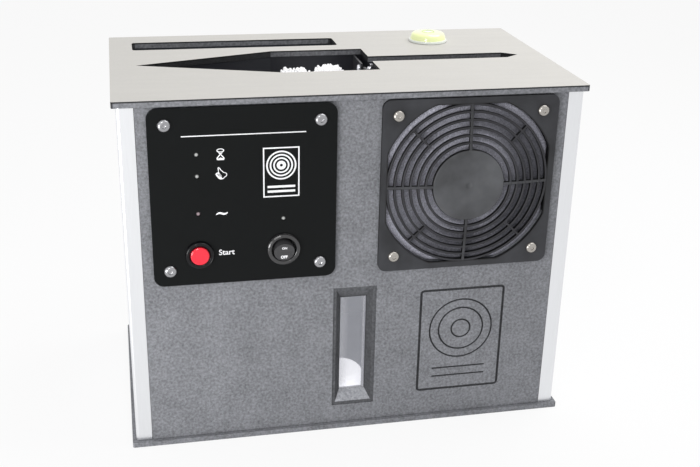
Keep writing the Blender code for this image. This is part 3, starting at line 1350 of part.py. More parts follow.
def build_level():
    """The round bubble level that lies on the top plate."""
    lens = finish("green level", (0.55, 0.75, 0.20), 0.10, 0.0, 0.8)
    profile = [
        (0, LEVEL_HEIGHT),
        (LEVEL_TOP - LEVEL_EDGE, LEVEL_HEIGHT),
        (LEVEL_TOP, LEVEL_HEIGHT - LEVEL_EDGE),
        (LEVEL_RIM - LEVEL_EDGE, LEVEL_RIM_HEIGHT),
        (LEVEL_RIM, LEVEL_RIM_HEIGHT),
        (LEVEL_RIM, 0),
        (0, 0),
    ]
    turned("bubble_level", profile, lens, (LEVEL_RIGHT, LEVEL_BACK, OVERALL_HEIGHT + FIT), LYING, 32)


build_case()
build_screws()
build_controls()
build_fan()
build_washer()
build_water()
build_power()
build_level()
print("pieces:", len(PARTS.objects))
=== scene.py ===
# %% [markdown]
# # A record cleaning machine
# The machine's solids are already made and packed: plates, boards, switches, fan, basin and rollers, each on
# the body that moves it. This file loads them, gives each surface its real finish, and adds what solids
# leave out: the pile of the rollers, the printed signs, the rounded guard and the small bright screws.

# %% Load the solids
import json
from math import atan, cos, pi, radians, sin

import bmesh
import bpy
from mathutils import Matrix, Vector, noise


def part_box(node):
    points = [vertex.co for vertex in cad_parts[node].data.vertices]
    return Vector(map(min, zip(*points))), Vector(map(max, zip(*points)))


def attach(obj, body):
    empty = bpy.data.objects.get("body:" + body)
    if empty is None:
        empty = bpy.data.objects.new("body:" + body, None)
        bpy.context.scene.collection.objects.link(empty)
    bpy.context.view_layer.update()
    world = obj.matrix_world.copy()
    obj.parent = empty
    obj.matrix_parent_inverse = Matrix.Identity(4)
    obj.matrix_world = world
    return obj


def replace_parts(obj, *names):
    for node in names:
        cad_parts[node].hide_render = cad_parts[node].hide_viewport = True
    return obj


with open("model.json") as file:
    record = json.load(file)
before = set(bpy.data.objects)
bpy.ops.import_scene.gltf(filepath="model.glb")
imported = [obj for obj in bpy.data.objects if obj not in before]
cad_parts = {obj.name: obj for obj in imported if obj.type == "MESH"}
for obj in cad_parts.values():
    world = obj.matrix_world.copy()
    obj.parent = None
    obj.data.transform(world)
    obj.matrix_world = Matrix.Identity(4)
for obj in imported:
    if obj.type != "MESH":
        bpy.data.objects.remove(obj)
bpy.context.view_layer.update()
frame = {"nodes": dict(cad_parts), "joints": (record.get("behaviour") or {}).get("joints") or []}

NODES = frame["nodes"]


def middle_of(node):
    """The middle of a solid's box."""
    low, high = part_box(node)
    return (low + high) / 2


def new_object(name, data):
    """A new object in the scene."""
    made = bpy.data.objects.new(name, data)
    bpy.context.scene.collection.objects.link(made)
    return made


# %% [markdown]
# ## The camera
# A photograph fixes the camera, so it comes first. Its place and its angles were worked out from the straight
# edges of the case. Three turns say where it looks: yaw to the right, pitch down, and a slight roll.

# %% Camera
CAMERA_PLACE = Vector((-0.1569, -0.7859, 0.4564))
CAMERA_YAW = radians(12.367)
CAMERA_PITCH = radians(22.692)
CAMERA_ROLL = radians(1.287)
lens = bpy.data.cameras.new("camera")
lens.lens = 55.55
lens.sensor_width = 36
lens.clip_start = 0.01
camera = new_object("camera", lens)
aim = Matrix.Rotation(-CAMERA_YAW, 4, "Z") @ Matrix.Rotation(pi / 2 - CAMERA_PITCH, 4, "X")
camera.matrix_world = Matrix.Translation(CAMERA_PLACE) @ aim @ Matrix.Rotation(CAMERA_ROLL, 4, "Z")
bpy.context.scene.camera = camera
print("camera at", camera.location)

# %% [markdown]
# ## Node graphs as sums
# Shaders and Geometry Nodes are both graphs of nodes. Written out node by node they are long and hard to
# read, so a wire is wrapped in a class that understands sums and comparisons, and every other node comes
# from one method that first sets its options and then its sockets.

# %% Wires that add up
def math_method(operation, reflected=False):
    """A method that adds one Math node."""
    def method(wire, other=0):
        first, second = (other, wire) if reflected else (wire, other)
        return wire.graph.node("ShaderNodeMath", {0: first, 1: second}, operation=operation)
    return method


class Wire:
    """The output of a node, which can stand in a sum."""

    def __init__(self, graph, socket):
        self.graph = graph
        self.socket = socket

    __add__ = math_method("ADD")
    __radd__ = math_method("ADD", True)
    __sub__ = math_method("SUBTRACT")
    __rsub__ = math_method("SUBTRACT", True)
    __mul__ = math_method("MULTIPLY")
    __rmul__ = math_method("MULTIPLY", True)
    __gt__ = math_method("GREATER_THAN")
    __lt__ = math_method("LESS_THAN")
    __abs__ = math_method("ABSOLUTE")
    maximum = math_method("MAXIMUM")


# %% The graph itself
class Graph:
    """A node tree with one method for every kind of node."""

    def __init__(self, tree):
        self.tree = tree

    def node(self, kind, sockets=None, out=0, **options):
        made = self.tree.nodes.new(kind)
        for option, value in options.items():
            setattr(made, option, value)
        self.wire(made, sockets or {})
        return Wire(self, made.outputs[out])

    def wire(self, made, sockets):
        for name, value in sockets.items():
            socket = made.inputs[name]
            if isinstance(value, Wire):
                self.tree.links.new(value.socket, socket)
            else:
                socket.default_value = value


# %% [markdown]
# ## A finish
# A finish is a material with a Principled shader. Its patterns read Object coordinates, so that they stay put
# on a piece that moves and come out at their real size in metres.

# %% Finish
class Finish(Graph):
    """A Principled material and the patterns that feed it."""

    def __init__(self, name, colour, roughness, metallic=0.0, **more):
        self.material = bpy.data.materials.new(name)
        self.material.use_nodes = True
        super().__init__(self.material.node_tree)
        self.shader = self.tree.nodes["Principled BSDF"]
        self.colour = colour
        self.wire(self.shader, {"Base Color": (*colour, 1.0), "Roughness": roughness, "Metallic": metallic})
        for socket, value in more.items():
            self.set(socket.replace("_", " "), value)
        self.place = self.node("ShaderNodeTexCoord", out="Object")
        self.normal = self.node("ShaderNodeTexCoord", out="Normal")

    def set(self, socket, value):
        self.wire(self.shader, {socket: value})

    def tint(self, tone):
        """Show the finish's own colour times a tone."""
        self.set("Base Color", self.shade(self.colour, tone))

    def at(self, letter):
        """One coordinate of the place."""
        return self.node("ShaderNodeSeparateXYZ", {0: self.place}, letter)

    def facing(self, letter):
        """One part of the direction that the surface faces."""
        return self.node("ShaderNodeSeparateXYZ", {0: self.normal}, letter)

    def noise(self, scale, detail=2.0, roughness=0.5, stretch=(1, 1, 1)):
        place = self.node("ShaderNodeVectorMath", {0: self.place, 1: stretch}, operation="MULTIPLY")
        sockets = {"Vector": place, "Scale": scale, "Detail": detail, "Roughness": roughness}
        return self.node("ShaderNodeTexNoise", sockets, "Fac")

    def cells(self, scale):
        return self.node("ShaderNodeTexVoronoi", {"Vector": self.place, "Scale": scale}, "Distance")

    def shade(self, colour, tone):
        return self.node("ShaderNodeVectorMath", {0: colour, "Scale": tone}, operation="SCALE")

    def mix(self, mask, first, second):
        return self.node("ShaderNodeMix", {0: mask, 6: first, 7: second}, 2, data_type="RGBA")

    def step(self, value, low, high):
        """0 up to low, 1 from high, and smooth between."""
        sockets = {0: value, 1: low, 2: high}
        return self.node("ShaderNodeMapRange", sockets, interpolation_type="SMOOTHSTEP")

    def between(self, value, low, high):
        return (value > low) * (value < high)

    def around(self, middle):
        """Distance from the axis that runs front to back through a point."""
        flat = self.node("ShaderNodeVectorMath", {0: self.place, 1: (1, 0, 1)}, operation="MULTIPLY")
        sockets = {0: flat, 1: (middle.x, 0, middle.z)}
        return self.node("ShaderNodeVectorMath", sockets, "Value", operation="DISTANCE")

    def bump(self, height, distance, strength=1.0):
        sockets = {"Height": height, "Distance": distance, "Strength": strength}
        self.set("Normal", self.node("ShaderNodeBump", sockets, "Normal"))


def wear(finish, *names):
    """Give solids a finish."""
    for name in names:
        node = NODES[name]
        node.data.materials.clear()
        node.data.materials.append(finish.material)


# %% [markdown]
# ## Light and floor
# The photograph has a white table and soft daylight, so the studio is plain: a pale floor, an even sky and
# two broad lamps, one above and one to the left, which leaves the right of the front a little darker. A
# third, small one near the camera puts the bright points on screws, bezels and the red button. The camera
# and reflections see a white sky and a floor that mostly glows. Its matt share carries the soft shadow.

# %% Sky
SKY_LEVEL = 0.55


def seen(graph):
    """1 for what the camera, a reflection or a clear pane sees directly."""
    rays = [graph.node("ShaderNodeLightPath", out=ray) for ray in
            ("Is Camera Ray", "Is Glossy Ray", "Is Transmission Ray")]
    return graph.node("ShaderNodeClamp", {0: rays[0] + rays[1] + rays[2]})


sky = bpy.data.worlds.new("sky")
sky.use_nodes = True
graph = Graph(sky.node_tree)
level = SKY_LEVEL + (1 - SKY_LEVEL) * seen(graph)
graph.wire(sky.node_tree.nodes["Background"], {"Color": (1, 1, 1, 1), "Strength": level})
bpy.context.scene.world = sky
bpy.context.scene.view_settings.view_transform = "Standard"
print("sky at", SKY_LEVEL)

# %% Lamps
def make_lamp(name, place, target, size, power):
    """A square lamp that looks at a point."""
    data = bpy.data.lights.new(name, "AREA")
    data.size = size
    data.energy = power
    lamp = new_object(name, data)
    lamp.location = place
    lamp.rotation_euler = (Vector(target) - Vector(place)).to_track_quat("-Z", "Y").to_euler()
    print("lamp", name, power, "W")


MIDDLE = (0.0, 0.0, 0.13)
make_lamp("lamp_above", (0.45, 0.10, 1.05), MIDDLE, 0.8, 6.7)
make_lamp("lamp_left", (-0.58, -0.54, 0.06), (-0.12, -0.09, 0.10), 0.35, 4.1)
make_lamp("lamp_glint", (-0.34, -0.74, 0.66), MIDDLE, 0.16, 1.1)

# %% Floor
FLOOR_HALF = 4.0
FLOOR_GLOW = 0.88
mesh = bpy.data.meshes.new("floor")
corners = [(x * FLOOR_HALF, y * FLOOR_HALF, 0) for x, y in ((-1, -1), (1, -1), (1, 1), (-1, 1))]
mesh.from_pydata(corners, [], [(0, 1, 2, 3)])
material = bpy.data.materials.new("pale floor")
material.use_nodes = True
graph = Graph(material.node_tree)
matt = graph.node("ShaderNodeBsdfDiffuse", {"Color": (0.86, 0.86, 0.87, 1)})
glow = graph.node("ShaderNodeEmission", {"Color": (1, 1, 1, 1)})
both = graph.node("ShaderNodeMixShader", {0: seen(graph) * FLOOR_GLOW, 1: matt, 2: glow})
graph.wire(material.node_tree.nodes["Material Output"], {"Surface": both})
mesh.materials.append(material)
floor = new_object("floor", mesh)
print("floor of", 2 * FLOOR_HALF, "m")

# %% [markdown]
# ## Mottled board
# Plates and boards are of one grey composite, speckled like fine felt. Two noises make it: flecks about two
# millimetres wide, and clouds of a few centimetres. The front and the top plate add masks of their own.

# %% Board
BOARD_GREY = (0.207, 0.212, 0.228)
BOARD_ROUGHNESS = 0.62
FRONT_LOW, FRONT_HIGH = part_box("front_panel")
SPECKLE = 520.0
FLECK_DEPTH = 1.9
CLOUD = 45.0
CLOUD_DEPTH = 0.5


def board_finish(name):
    """Mottled board, whose tone is kept for finishes that start from it."""
    finish = Finish(name, BOARD_GREY, BOARD_ROUGHNESS, Specular_IOR_Level=0.25)
    flecks = finish.noise(SPECKLE, 4.0, 0.65)
    clouds = finish.noise(CLOUD, 3.0, 0.6)
    finish.tone = 1 + FLECK_DEPTH * (flecks - 0.5) + CLOUD_DEPTH * (clouds - 0.5)
    finish.tint(finish.tone)
    finish.bump(finish.noise(SPECKLE * 1.6, 3.0, 0.6), 0.00012, 0.5)
    return finish


wear(board_finish("mottled board"), "rear_panel")
print("board over", FRONT_LOW, FRONT_HIGH)

# %% [markdown]
# ## The front panel's recesses
# The window's slopes and the engraved lines were cut into the board, and painted shade makes their
# faces darker than its skin. How deep a point lies below the skin, and which way it faces, tell a cut face
# from the skin. The window's sill faces up and is painted lighter, as painted light; its flanks get the
# darkest painted shade, and a thin seal runs along the pane.

# %% Front panel
REBATE_DEPTH = 0.0008
ENGRAVED_FROM = 0.045
# Painted shade in the recess, the engraved lines and on the window's flanks, painted light on its sill.
RECESS_PAINTED_SHADE = 0.46
ENGRAVED_PAINTED_SHADE = 0.21
SILL_PAINTED_LIGHT = 1.66
FLANK_PAINTED_SHADE = 0.33
SEAL = 0.0009
SEAL_SHADE = 0.85
PANE_LOW, PANE_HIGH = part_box("window_pane")


def front_panel_finish():
    """Mottled board with painted shade in its cut recesses and on the flanks, and painted light on the sill.
    """
    finish = board_finish("front board")
    depth = finish.at("Y") - FRONT_LOW.y
    cut = finish.step(depth, REBATE_DEPTH * 0.3, REBATE_DEPTH * 0.7)
    slope = finish.step(depth, REBATE_DEPTH * 1.02, REBATE_DEPTH * 1.2)
    seal_from = PANE_LOW.y - FRONT_LOW.y - SEAL
    seal = finish.step(depth, seal_from, seal_from + SEAL * 0.4)
    flanks = slope * finish.step(abs(finish.facing("X")), 0.2, 0.5)
    sill = slope * finish.step(finish.facing("Z"), 0.2, 0.5)
    engraved = cut * (finish.at("X") > ENGRAVED_FROM)
    recess = 1 - (1 - RECESS_PAINTED_SHADE) * cut - (RECESS_PAINTED_SHADE - ENGRAVED_PAINTED_SHADE) * engraved
    slopes = (SILL_PAINTED_LIGHT - RECESS_PAINTED_SHADE) * sill + (FLANK_PAINTED_SHADE - RECESS_PAINTED_SHADE) * flanks
    finish.tint(finish.tone * (recess + slopes) * (1 - SEAL_SHADE * seal * (1 - sill)))
    return finish


wear(front_panel_finish(), "front_panel")

# %% [markdown]
# ## The plates
# Seen from this height the top plate is pale: its upper face is painted a pale grey, a painted sheen
# that makes it lighter than its sawn edge. The edge shows the speckled core, with a fine dark line where
# core and skin meet. The walls of the slots are sawn too, and painted shade darkens them, most of all
# where they slant, and so it does every face that looks sideways, the plate's ends as well. The filling
# slot's walls are painted lighter, as painted light.

# %% Plates
# The skin grey is a painted sheen; the sawn and slanted tones are painted shade, the fill tone painted light.
PAINTED_SHEEN_GREY = (0.570, 0.556, 0.527)
TOP_LOW, TOP_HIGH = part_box("top_plate")
ARRIS = 0.0013
ARRIS_SHADE = 0.9
RIM = 0.002
SLOT_PAINTED_SHADE = 0.74
SIDEWAYS_PAINTED_SHADE = 0.14
FILL_SLOT_PAINTED_LIGHT = 1.55
FILL_FROM = 0.05


def top_finish():
    """Painted sheen on top, speckled core at the edges, painted shade in slots and on sideways faces, least
    in the filling slot.
    """
    finish = board_finish("top board")
    upward = finish.step(finish.facing("Z"), 0.5, 0.9)
    streaks = finish.noise(140.0, 3.0, 0.6, (0.12, 1, 1))
    skin = finish.shade(PAINTED_SHEEN_GREY, 1 + 0.10 * (streaks - 0.5) + 0.05 * (finish.tone - 1))
    line = finish.step(finish.at("Z"), TOP_HIGH.z - ARRIS, TOP_HIGH.z - ARRIS * 0.6)
    across = finish.between(finish.at("X"), TOP_LOW.x + RIM, TOP_HIGH.x - RIM)
    inside = across * finish.between(finish.at("Y"), TOP_LOW.y + RIM, TOP_HIGH.y - RIM)
    slanted = finish.step(abs(finish.facing("X")), 0.1, 0.3)
    sawn = (1 - (1 - SLOT_PAINTED_SHADE) * inside) * (1 - (1 - SIDEWAYS_PAINTED_SHADE) * slanted)
    sawn = sawn * (1 + (FILL_SLOT_PAINTED_LIGHT - 1) * inside * (finish.at("Y") > FILL_FROM))
    core = finish.shade(BOARD_GREY, finish.tone * (1 - ARRIS_SHADE * line) * sawn)
    finish.set("Base Color", finish.mix(upward, core, skin))
    finish.set("Roughness", BOARD_ROUGHNESS - 0.14 * upward)
    return finish


wear(top_finish(), "top_plate")
wear(board_finish("base board"), "base_plate")

# %% [markdown]
# ## Metals
# The case's side sheets are brushed aluminium. Brushing is noise stretched along the brush's path, here
# upright. The screws are turned stainless steel, slightly warmer on the guard than on the panel.

# %% Aluminium and steel
def brushed_finish(name, colour, roughness, stretch):
    """Metal with fine parallel scratches."""
    finish = Finish(name, colour, roughness, 1.0)
    scratches = finish.noise(2600.0, 3.0, 0.6, stretch)
    finish.set("Roughness", roughness + 0.12 * (scratches - 0.5))
    finish.tint(1 + 0.10 * (scratches - 0.5))
    return finish


def steel_finish(name, colour, roughness):
    """Turned metal with a fine uneven polish."""
    finish = Finish(name, colour, roughness, 1.0)
    finish.set("Roughness", roughness + 0.15 * (finish.noise(900.0, 3.0) - 0.5))
    return finish


BRUSHED = brushed_finish("brushed aluminium", (0.79, 0.80, 0.82), 0.36, (1, 1, 0.02))
wear(BRUSHED, "side_shell_left", "side_shell_right")
STAINLESS = steel_finish("stainless steel", (0.36, 0.36, 0.375), 0.24)
WARM_STEEL = steel_finish("warm stainless steel", (0.40, 0.38, 0.355), 0.24)
MACHINED = steel_finish("machined steel", (0.55, 0.55, 0.57), 0.30)
CORNERS = ("front_left", "front_right", "rear_left", "rear_right")
wear(MACHINED, *[f"roller_spindle_{corner}" for corner in CORNERS], "drive_pinion", "support_axle")
CAST = steel_finish("satin aluminium", (0.68, 0.68, 0.70), 0.42)
wear(CAST, "record_drive_motor", "roller_motor", "transducer_front", "transducer_rear", "power_supply")
print("corners:", len(CORNERS))

# %% [markdown]
# ## Plastics
# Black plastic comes in several kinds here: the mirror-black control panel, the smooth switches and the dull
# basin. What sets them apart is how much they reflect and how sharply, and a faint unevenness. The tank and
# its filter are white plastic, given a little glow: painted light in place of daylight that shines through
# them.

# %% Plastics
def plastic_finish(name, colour, roughness, grain, specular):
    """Moulded plastic, slightly uneven, with a grain if there is one."""
    finish = Finish(name, colour, roughness, Specular_IOR_Level=specular)
    cloud = finish.noise(60.0)
    finish.tint(1 + 0.16 * (cloud - 0.5))
    finish.set("Roughness", roughness + 0.06 * (cloud - 0.5))
    if grain:
        finish.bump(finish.noise(2400.0), grain)
    return finish


FAN = ("fan_housing", "fan_rotor")
TANK_PAINTED_GLOW = ("tank plastic", (0.95, 0.96, 1.0, 1), 0.075)
FILTER_PAINTED_GLOW = ("filter white", (0.96, 0.96, 1.0, 1), 0.70)
PLASTICS = {}
for name, colour, roughness, grain, specular, *nodes in (
    ("gloss black", (0.0062, 0.0070, 0.0072), 0.10, 0, 0.10, "control_panel"),
    ("switch black", (0.004, 0.004, 0.005), 0.16, 0, 0.26, "start_switch_body"),
    ("bezel black", (0.013, 0.013, 0.014), 0.20, 0, 0.85, "power_switch_body"),
    # The rocker's black is painted lighter than the switch's: a painted reflection of the bright floor below
    # it.
    ("rocker black", (0.042, 0.042, 0.044), 0.30, 0, 0.40, "power_rocker"),
    ("red", (0.93, 0.020, 0.045), 0.22, 0, 0.5, "start_button"),
    ("basin black", (0.021, 0.022, 0.027), 0.42, 0.00003, 0.25, "wash_basin", "gear_case", *FAN),
    ("trough black", (0.060, 0.066, 0.078), 0.42, 0.00003, 0.25, "fill_trough"),
    ("bracket black", (0.040, 0.040, 0.044), 0.35, 0.00003, 0.5, "record_guide_front", "record_guide_rear"),
    ("rubber", (0.016, 0.016, 0.016), 0.80, 0.00008, 0.5, "record_drive_wheel", "support_wheel"),
    ("tank plastic", (0.74, 0.75, 0.78), 0.40, 0.00003, 0.5, "water_tank", "tank_lid"),
    ("filter white", (0.93, 0.93, 0.94), 0.55, 0.00005, 0.5, "filter_cartridge"),
    ("pump plastic", (0.03, 0.03, 0.034), 0.45, 0.00004, 0.5, "water_pump", "drain_valve"),
    ("inlet plastic", (0.014, 0.014, 0.015), 0.38, 0.00004, 0.5, "power_inlet"),
    ("silicone", (0.55, 0.56, 0.58), 0.35, 0, 0.5, "supply_hose"),
    ("circuit board", (0.015, 0.12, 0.06), 0.35, 0, 0.5, "control_board"),
):
    PLASTICS[name] = plastic_finish(name, colour, roughness, grain, specular)
    wear(PLASTICS[name], *nodes)
# Painted light: the tank and the filter glow a little, in place of daylight shining through them.
for name, glow, strength in (TANK_PAINTED_GLOW, FILTER_PAINTED_GLOW):
    PLASTICS[name].set("Emission Color", glow)
    PLASTICS[name].set("Emission Strength", strength)
print("plastics:", len(PLASTICS))

# %% [markdown]
# ## Indicator lamps
# The panel's four lamps are off: small frosted lenses, greyish, with a darker ring where they meet the panel.
# The ring is a mask on the distance from each lamp's own axis.

# %% Lamp lenses
LENS_SHADE = 0.80


def lens_finish(name, colour):
    """A frosted lens, darker towards its edge."""
    low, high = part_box(name)
    radius = (high.x - low.x) / 2
    finish = Finish(name + " lens", colour, 0.22)
    reach = finish.around(middle_of(name))
    finish.tint(1 - LENS_SHADE * finish.step(reach, radius * 0.45, radius * 0.95))
    return finish


for lamp in ("fill_lamp", "ready_lamp", "power_lamp"):
    wear(lens_finish(lamp, (0.42, 0.43, 0.42)), lamp)
wear(lens_finish("wave_lamp", (0.32, 0.25, 0.27)), "wave_lamp")

# %% [markdown]
# ## The window
# The pane is clear acrylic. A camera sees through it and also sees a soft reflection of the room, so the
# finish is partly see-through grey with a gloss, paler in its left part as a painted reflection, and with a
# painted highlight along its right edge.

# %% Pane
# Painted reflection in the pane's left part and a painted highlight along its right edge.
PANE_ALPHA = 0.10
PANE_PAINTED_REFLECTION = 0.24
PANE_SHOWN = 0.0089
PANE_EDGE = 0.0008
EDGE_PAINTED_HIGHLIGHT = 0.6
EDGE_HIGHLIGHT_ALPHA = 0.25


def pane_finish():
    """See-through grey acrylic with a painted reflection in its left part and a painted highlight on its
    right edge.
    """
    finish = Finish("clear pane", (0.40, 0.40, 0.43), 0.08)
    x = finish.at("X")
    width = PANE_HIGH.x - PANE_LOW.x
    glow = 1 - finish.step(x, PANE_LOW.x + width * 0.15, PANE_LOW.x + width * 0.45)
    edge = finish.between(x, PANE_SHOWN - PANE_EDGE, PANE_SHOWN)
    finish.tint(1 + 0.7 * glow + EDGE_PAINTED_HIGHLIGHT * edge)
    finish.set("Alpha", PANE_ALPHA + PANE_PAINTED_REFLECTION * glow + EDGE_HIGHLIGHT_ALPHA * edge)
    return finish


wear(pane_finish(), "window_pane")

# %% [markdown]
# ## Bringing a node result home
# A Geometry Nodes result is only a preview on its object, and so is a curve's or a word's filling. The result
# is copied to a plain mesh, the object that showed it goes, and only then does a piece ride on its body.

# %% Helpers for new pieces
def add_piece(name, mesh, finish, body):
    """Put a finished mesh into the scene and let it ride on a body."""
    piece = new_object(name, mesh)
    if finish:
        mesh.materials.append(finish.material)
    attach(piece, body)
    print(name, len(mesh.polygons), "faces")
    return piece


def plain_mesh(name, holder):
    """The mesh that an object shows; the object itself is removed."""
    shown = holder.evaluated_get(bpy.context.evaluated_depsgraph_get())
    mesh = bpy.data.meshes.new_from_object(shown)
    bpy.data.objects.remove(holder, do_unlink=True)
    mesh.name = name
    return mesh


def mesh_from(name, bm):
    """The mesh of a bmesh, which is freed."""
    mesh = bpy.data.meshes.new(name)
    bm.to_mesh(mesh)
    bm.free()
    return mesh


def smooth(mesh, sharp):
    """Shade a mesh smooth, but for edges that turn by more than an angle in degrees."""
    mesh.shade_smooth()
    mesh.set_sharp_from_angle(angle=radians(sharp))


# %% Node trees
def bake_nodes(name, seed_mesh, tree, values):
    """The plain mesh that a Geometry Nodes tree makes from a mesh."""
    holder = new_object(name, seed_mesh)
    modifier = holder.modifiers.new("nodes", "NODES")
    modifier.node_group = tree
    for item in tree.interface.items_tree:
        if item.in_out == "INPUT" and item.name in values:
            modifier[item.identifier] = values[item.name]
    return plain_mesh(name, holder)


def new_tree(name, *sizes):
    """An empty Geometry Nodes tree with a mesh input and named numbers, of which a seed is whole."""
    tree = bpy.data.node_groups.new(name, "GeometryNodeTree")
    tree.interface.new_socket("Geometry", in_out="INPUT", socket_type="NodeSocketGeometry")
    for size in sizes:
        kind = "NodeSocketInt" if size == "Seed" else "NodeSocketFloat"
        tree.interface.new_socket(size, in_out="INPUT", socket_type=kind)
    tree.interface.new_socket("Geometry", in_out="OUTPUT", socket_type="NodeSocketGeometry")
    graph = Graph(tree)
    source = tree.nodes.new("NodeGroupInput")
    wires = {name: Wire(graph, source.outputs[name]) for name in ("Geometry", *sizes)}
    return graph, wires


def end_tree(graph, result, finish):
    """Close a tree: real geometry, its material, the output."""
    real = graph.node("GeometryNodeRealizeInstances", {0: result})
    dressed = graph.node("GeometryNodeSetMaterial", {"Geometry": real, "Material": finish.material})
    sink = graph.tree.nodes.new("NodeGroupOutput")
    graph.wire(sink, {0: dressed})
    return graph.tree


# %% Flat shapes
INK = 0.00005
MM = 0.001
UPRIGHT = Matrix.Rotation(pi / 2, 4, "X")


def turns(steps):
    """The angles of so many steps, once round."""
    return [2 * pi * n / steps for n in range(steps)]


def circle(radius, x=0.0, y=0.0, sides=48):
    return [(x + radius * cos(turn), y + radius * sin(turn)) for turn in turns(sides)]


def block(left, low, right, high):
    return [(left, low), (right, low), (right, high), (left, high)]


def outline_mesh(name, outlines, thickness=INK):
    """A flat mark from closed outlines in millimetres, where one inside another is a hole."""
    curve = bpy.data.curves.new(name, "CURVE")
    curve.dimensions = "2D"
    curve.fill_mode = "BOTH"
    curve.extrude = thickness / 2
    for outline in outlines:
        spline = curve.splines.new("POLY")
        spline.points.add(len(outline) - 1)
        for point, (x, y) in zip(spline.points, outline):
            point.co = (x * MM, y * MM, 0, 1)
        spline.use_cyclic_u = True
    return curve_mesh(name, curve)


def curve_mesh(name, curve):
    """The mesh of a curve or a word, without a material."""
    mesh = plain_mesh(name, new_object(name, curve))
    mesh.materials.clear()
    return mesh


# %% Turned pieces
def turned_mesh(name, profile, steps=48, reach=None):
    """A closed turned mesh from (radius, height) points; reach may bend a radius out of round."""
    bm = bmesh.new()
    rings = []
    for radius, height in profile:
        if radius == 0:
            rings.append([bm.verts.new((0, 0, height))])
            continue
        ring = []
        for turn in turns(steps):
            out = reach(radius, height, turn) if reach else radius
            ring.append(bm.verts.new((out * cos(turn), out * sin(turn), height)))
        rings.append(ring)
    for upper, lower in zip(rings, rings[1:]):
        for n in range(steps):
            corners = [upper[n % len(upper)], upper[(n + 1) % len(upper)]]
            corners += [lower[(n + 1) % len(lower)], lower[n % len(lower)]]
            bm.faces.new(list(dict.fromkeys(corners)))
    bmesh.ops.remove_doubles(bm, verts=bm.verts, dist=1e-7)
    bmesh.ops.recalc_face_normals(bm, faces=bm.faces)
    mesh = mesh_from(name, bm)
    smooth(mesh, 42)
    return mesh


def turned_piece(name, profile, steps, place, finish):
    """A turned piece of the machine, from a profile in millimetres."""
    mesh = turned_mesh(name, [(radius * MM, height * MM) for radius, height in profile], steps)
    mesh.transform(place)
    return add_piece(name, mesh, finish, "machine")


# %% [markdown]
# ## Bezels
# Each switch stands in a black ring. Light runs round such a ring as one long glint, which flat facets would
# break up, so a smooth turned ring lies over each solid one. The start switch's ring is flat with a fine
# raised line, and the power switch's ring has a broad slanted outside.

# %% Bezels
PANEL_MIDDLE = middle_of("control_panel")
PANEL_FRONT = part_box("control_panel")[0].y
START_RING = [(6.75, 1.5), (7.0, 2.3), (8.6, 2.55), (9.0, 2.75), (9.4, 2.6), (9.9, 1.7), (10.05, 0.0),
              (6.75, 0.0), (6.75, 1.5)]
POWER_RING = [(8.55, 1.9), (8.7, 2.5), (9.1, 2.85), (9.5, 2.9), (9.9, 2.75), (11.5, 1.6), (11.8, 1.2),
              (11.9, 0.7), (11.9, 0.0), (8.55, 0.0), (8.55, 1.9)]


def upright(x, y, z):
    """The turn and place that stand a mesh upright with its zero at a point."""
    return Matrix.Translation((x, y, z)) @ UPRIGHT


for name, body, ring, black in (
    ("start_bezel", "start_switch_body", START_RING, "switch black"),
    ("power_bezel", "power_switch_body", POWER_RING, "bezel black"),
):
    middle = middle_of(body)
    turned_piece(name, ring, 72, upright(middle.x, PANEL_FRONT, middle.z), PLASTICS[black])

# %% [markdown]
# ## The fan guard
# The guard is one moulding: a flat frame, rings on a shallow dome, spokes, and a solid middle. Its parts
# are lit and shaded copies of one plastic: the middle and the spokes are painted lighter, the rings darker.
# Its bars look grey in front and black at their sides, so they need real depth, and painted shade darkens
# their sides too. The frame is an outline with rounded edges.
# Rings and spokes are bare paths on the dome, and a Geometry Nodes tree sweeps a rounded bar along them: a
# narrow one for the rings and the short spokes between them, and a broader one for the four long spokes.

# %% Guard finish
GUARD_LOW, GUARD_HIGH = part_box("fan_guard")
GUARD_PLACE = Vector((middle_of("fan_guard").x, GUARD_HIGH.y, middle_of("fan_guard").z))
GUARD_SIDE = 128.0
GUARD_UNIT = (GUARD_HIGH.x - GUARD_LOW.x) / GUARD_SIDE
OPENING = 64.5
OPENING_FLAT = 59.2
# Painted shadow along the opening, and painted shade on faces that look sideways.
OPENING_SHADOW_FROM = 0.3
OPENING_SHADOW_TO = 1.1
OPENING_PAINTED_SHADOW = 0.12
SIDE_PAINTED_SHADE = 0.03
SATIN = 0.46


def guard_finish(name, grey, opening_shadow=False):
    """Satin black plastic with painted shade where a face looks sideways, and a painted shadow along the
    opening.
    """
    finish = Finish(name, grey, SATIN, Specular_IOR_Level=0.35)
    frontal = finish.step(0 - finish.facing("Y"), 0.55, 0.92)
    cloud = finish.noise(45.0, 3.0)
    tone = (SIDE_PAINTED_SHADE + (1 - SIDE_PAINTED_SHADE) * frontal) * (1 + 2.0 * (cloud - 0.5))
    if opening_shadow:
        gap = finish.around(GUARD_PLACE) - OPENING * GUARD_UNIT
        for offset in (finish.at("X") - GUARD_PLACE.x, finish.at("Z") - GUARD_PLACE.z):
            gap = gap.maximum(abs(offset) - OPENING_FLAT * GUARD_UNIT)
        past_shadow = finish.step(gap, OPENING_SHADOW_FROM * GUARD_UNIT, OPENING_SHADOW_TO * GUARD_UNIT)
        tone = tone * (OPENING_PAINTED_SHADOW + (1 - OPENING_PAINTED_SHADOW) * past_shadow)
    finish.tint(tone)
    finish.set("Roughness", SATIN + 0.10 * (cloud - 0.5))
    finish.bump(finish.noise(2400.0), 0.00004)
    return finish


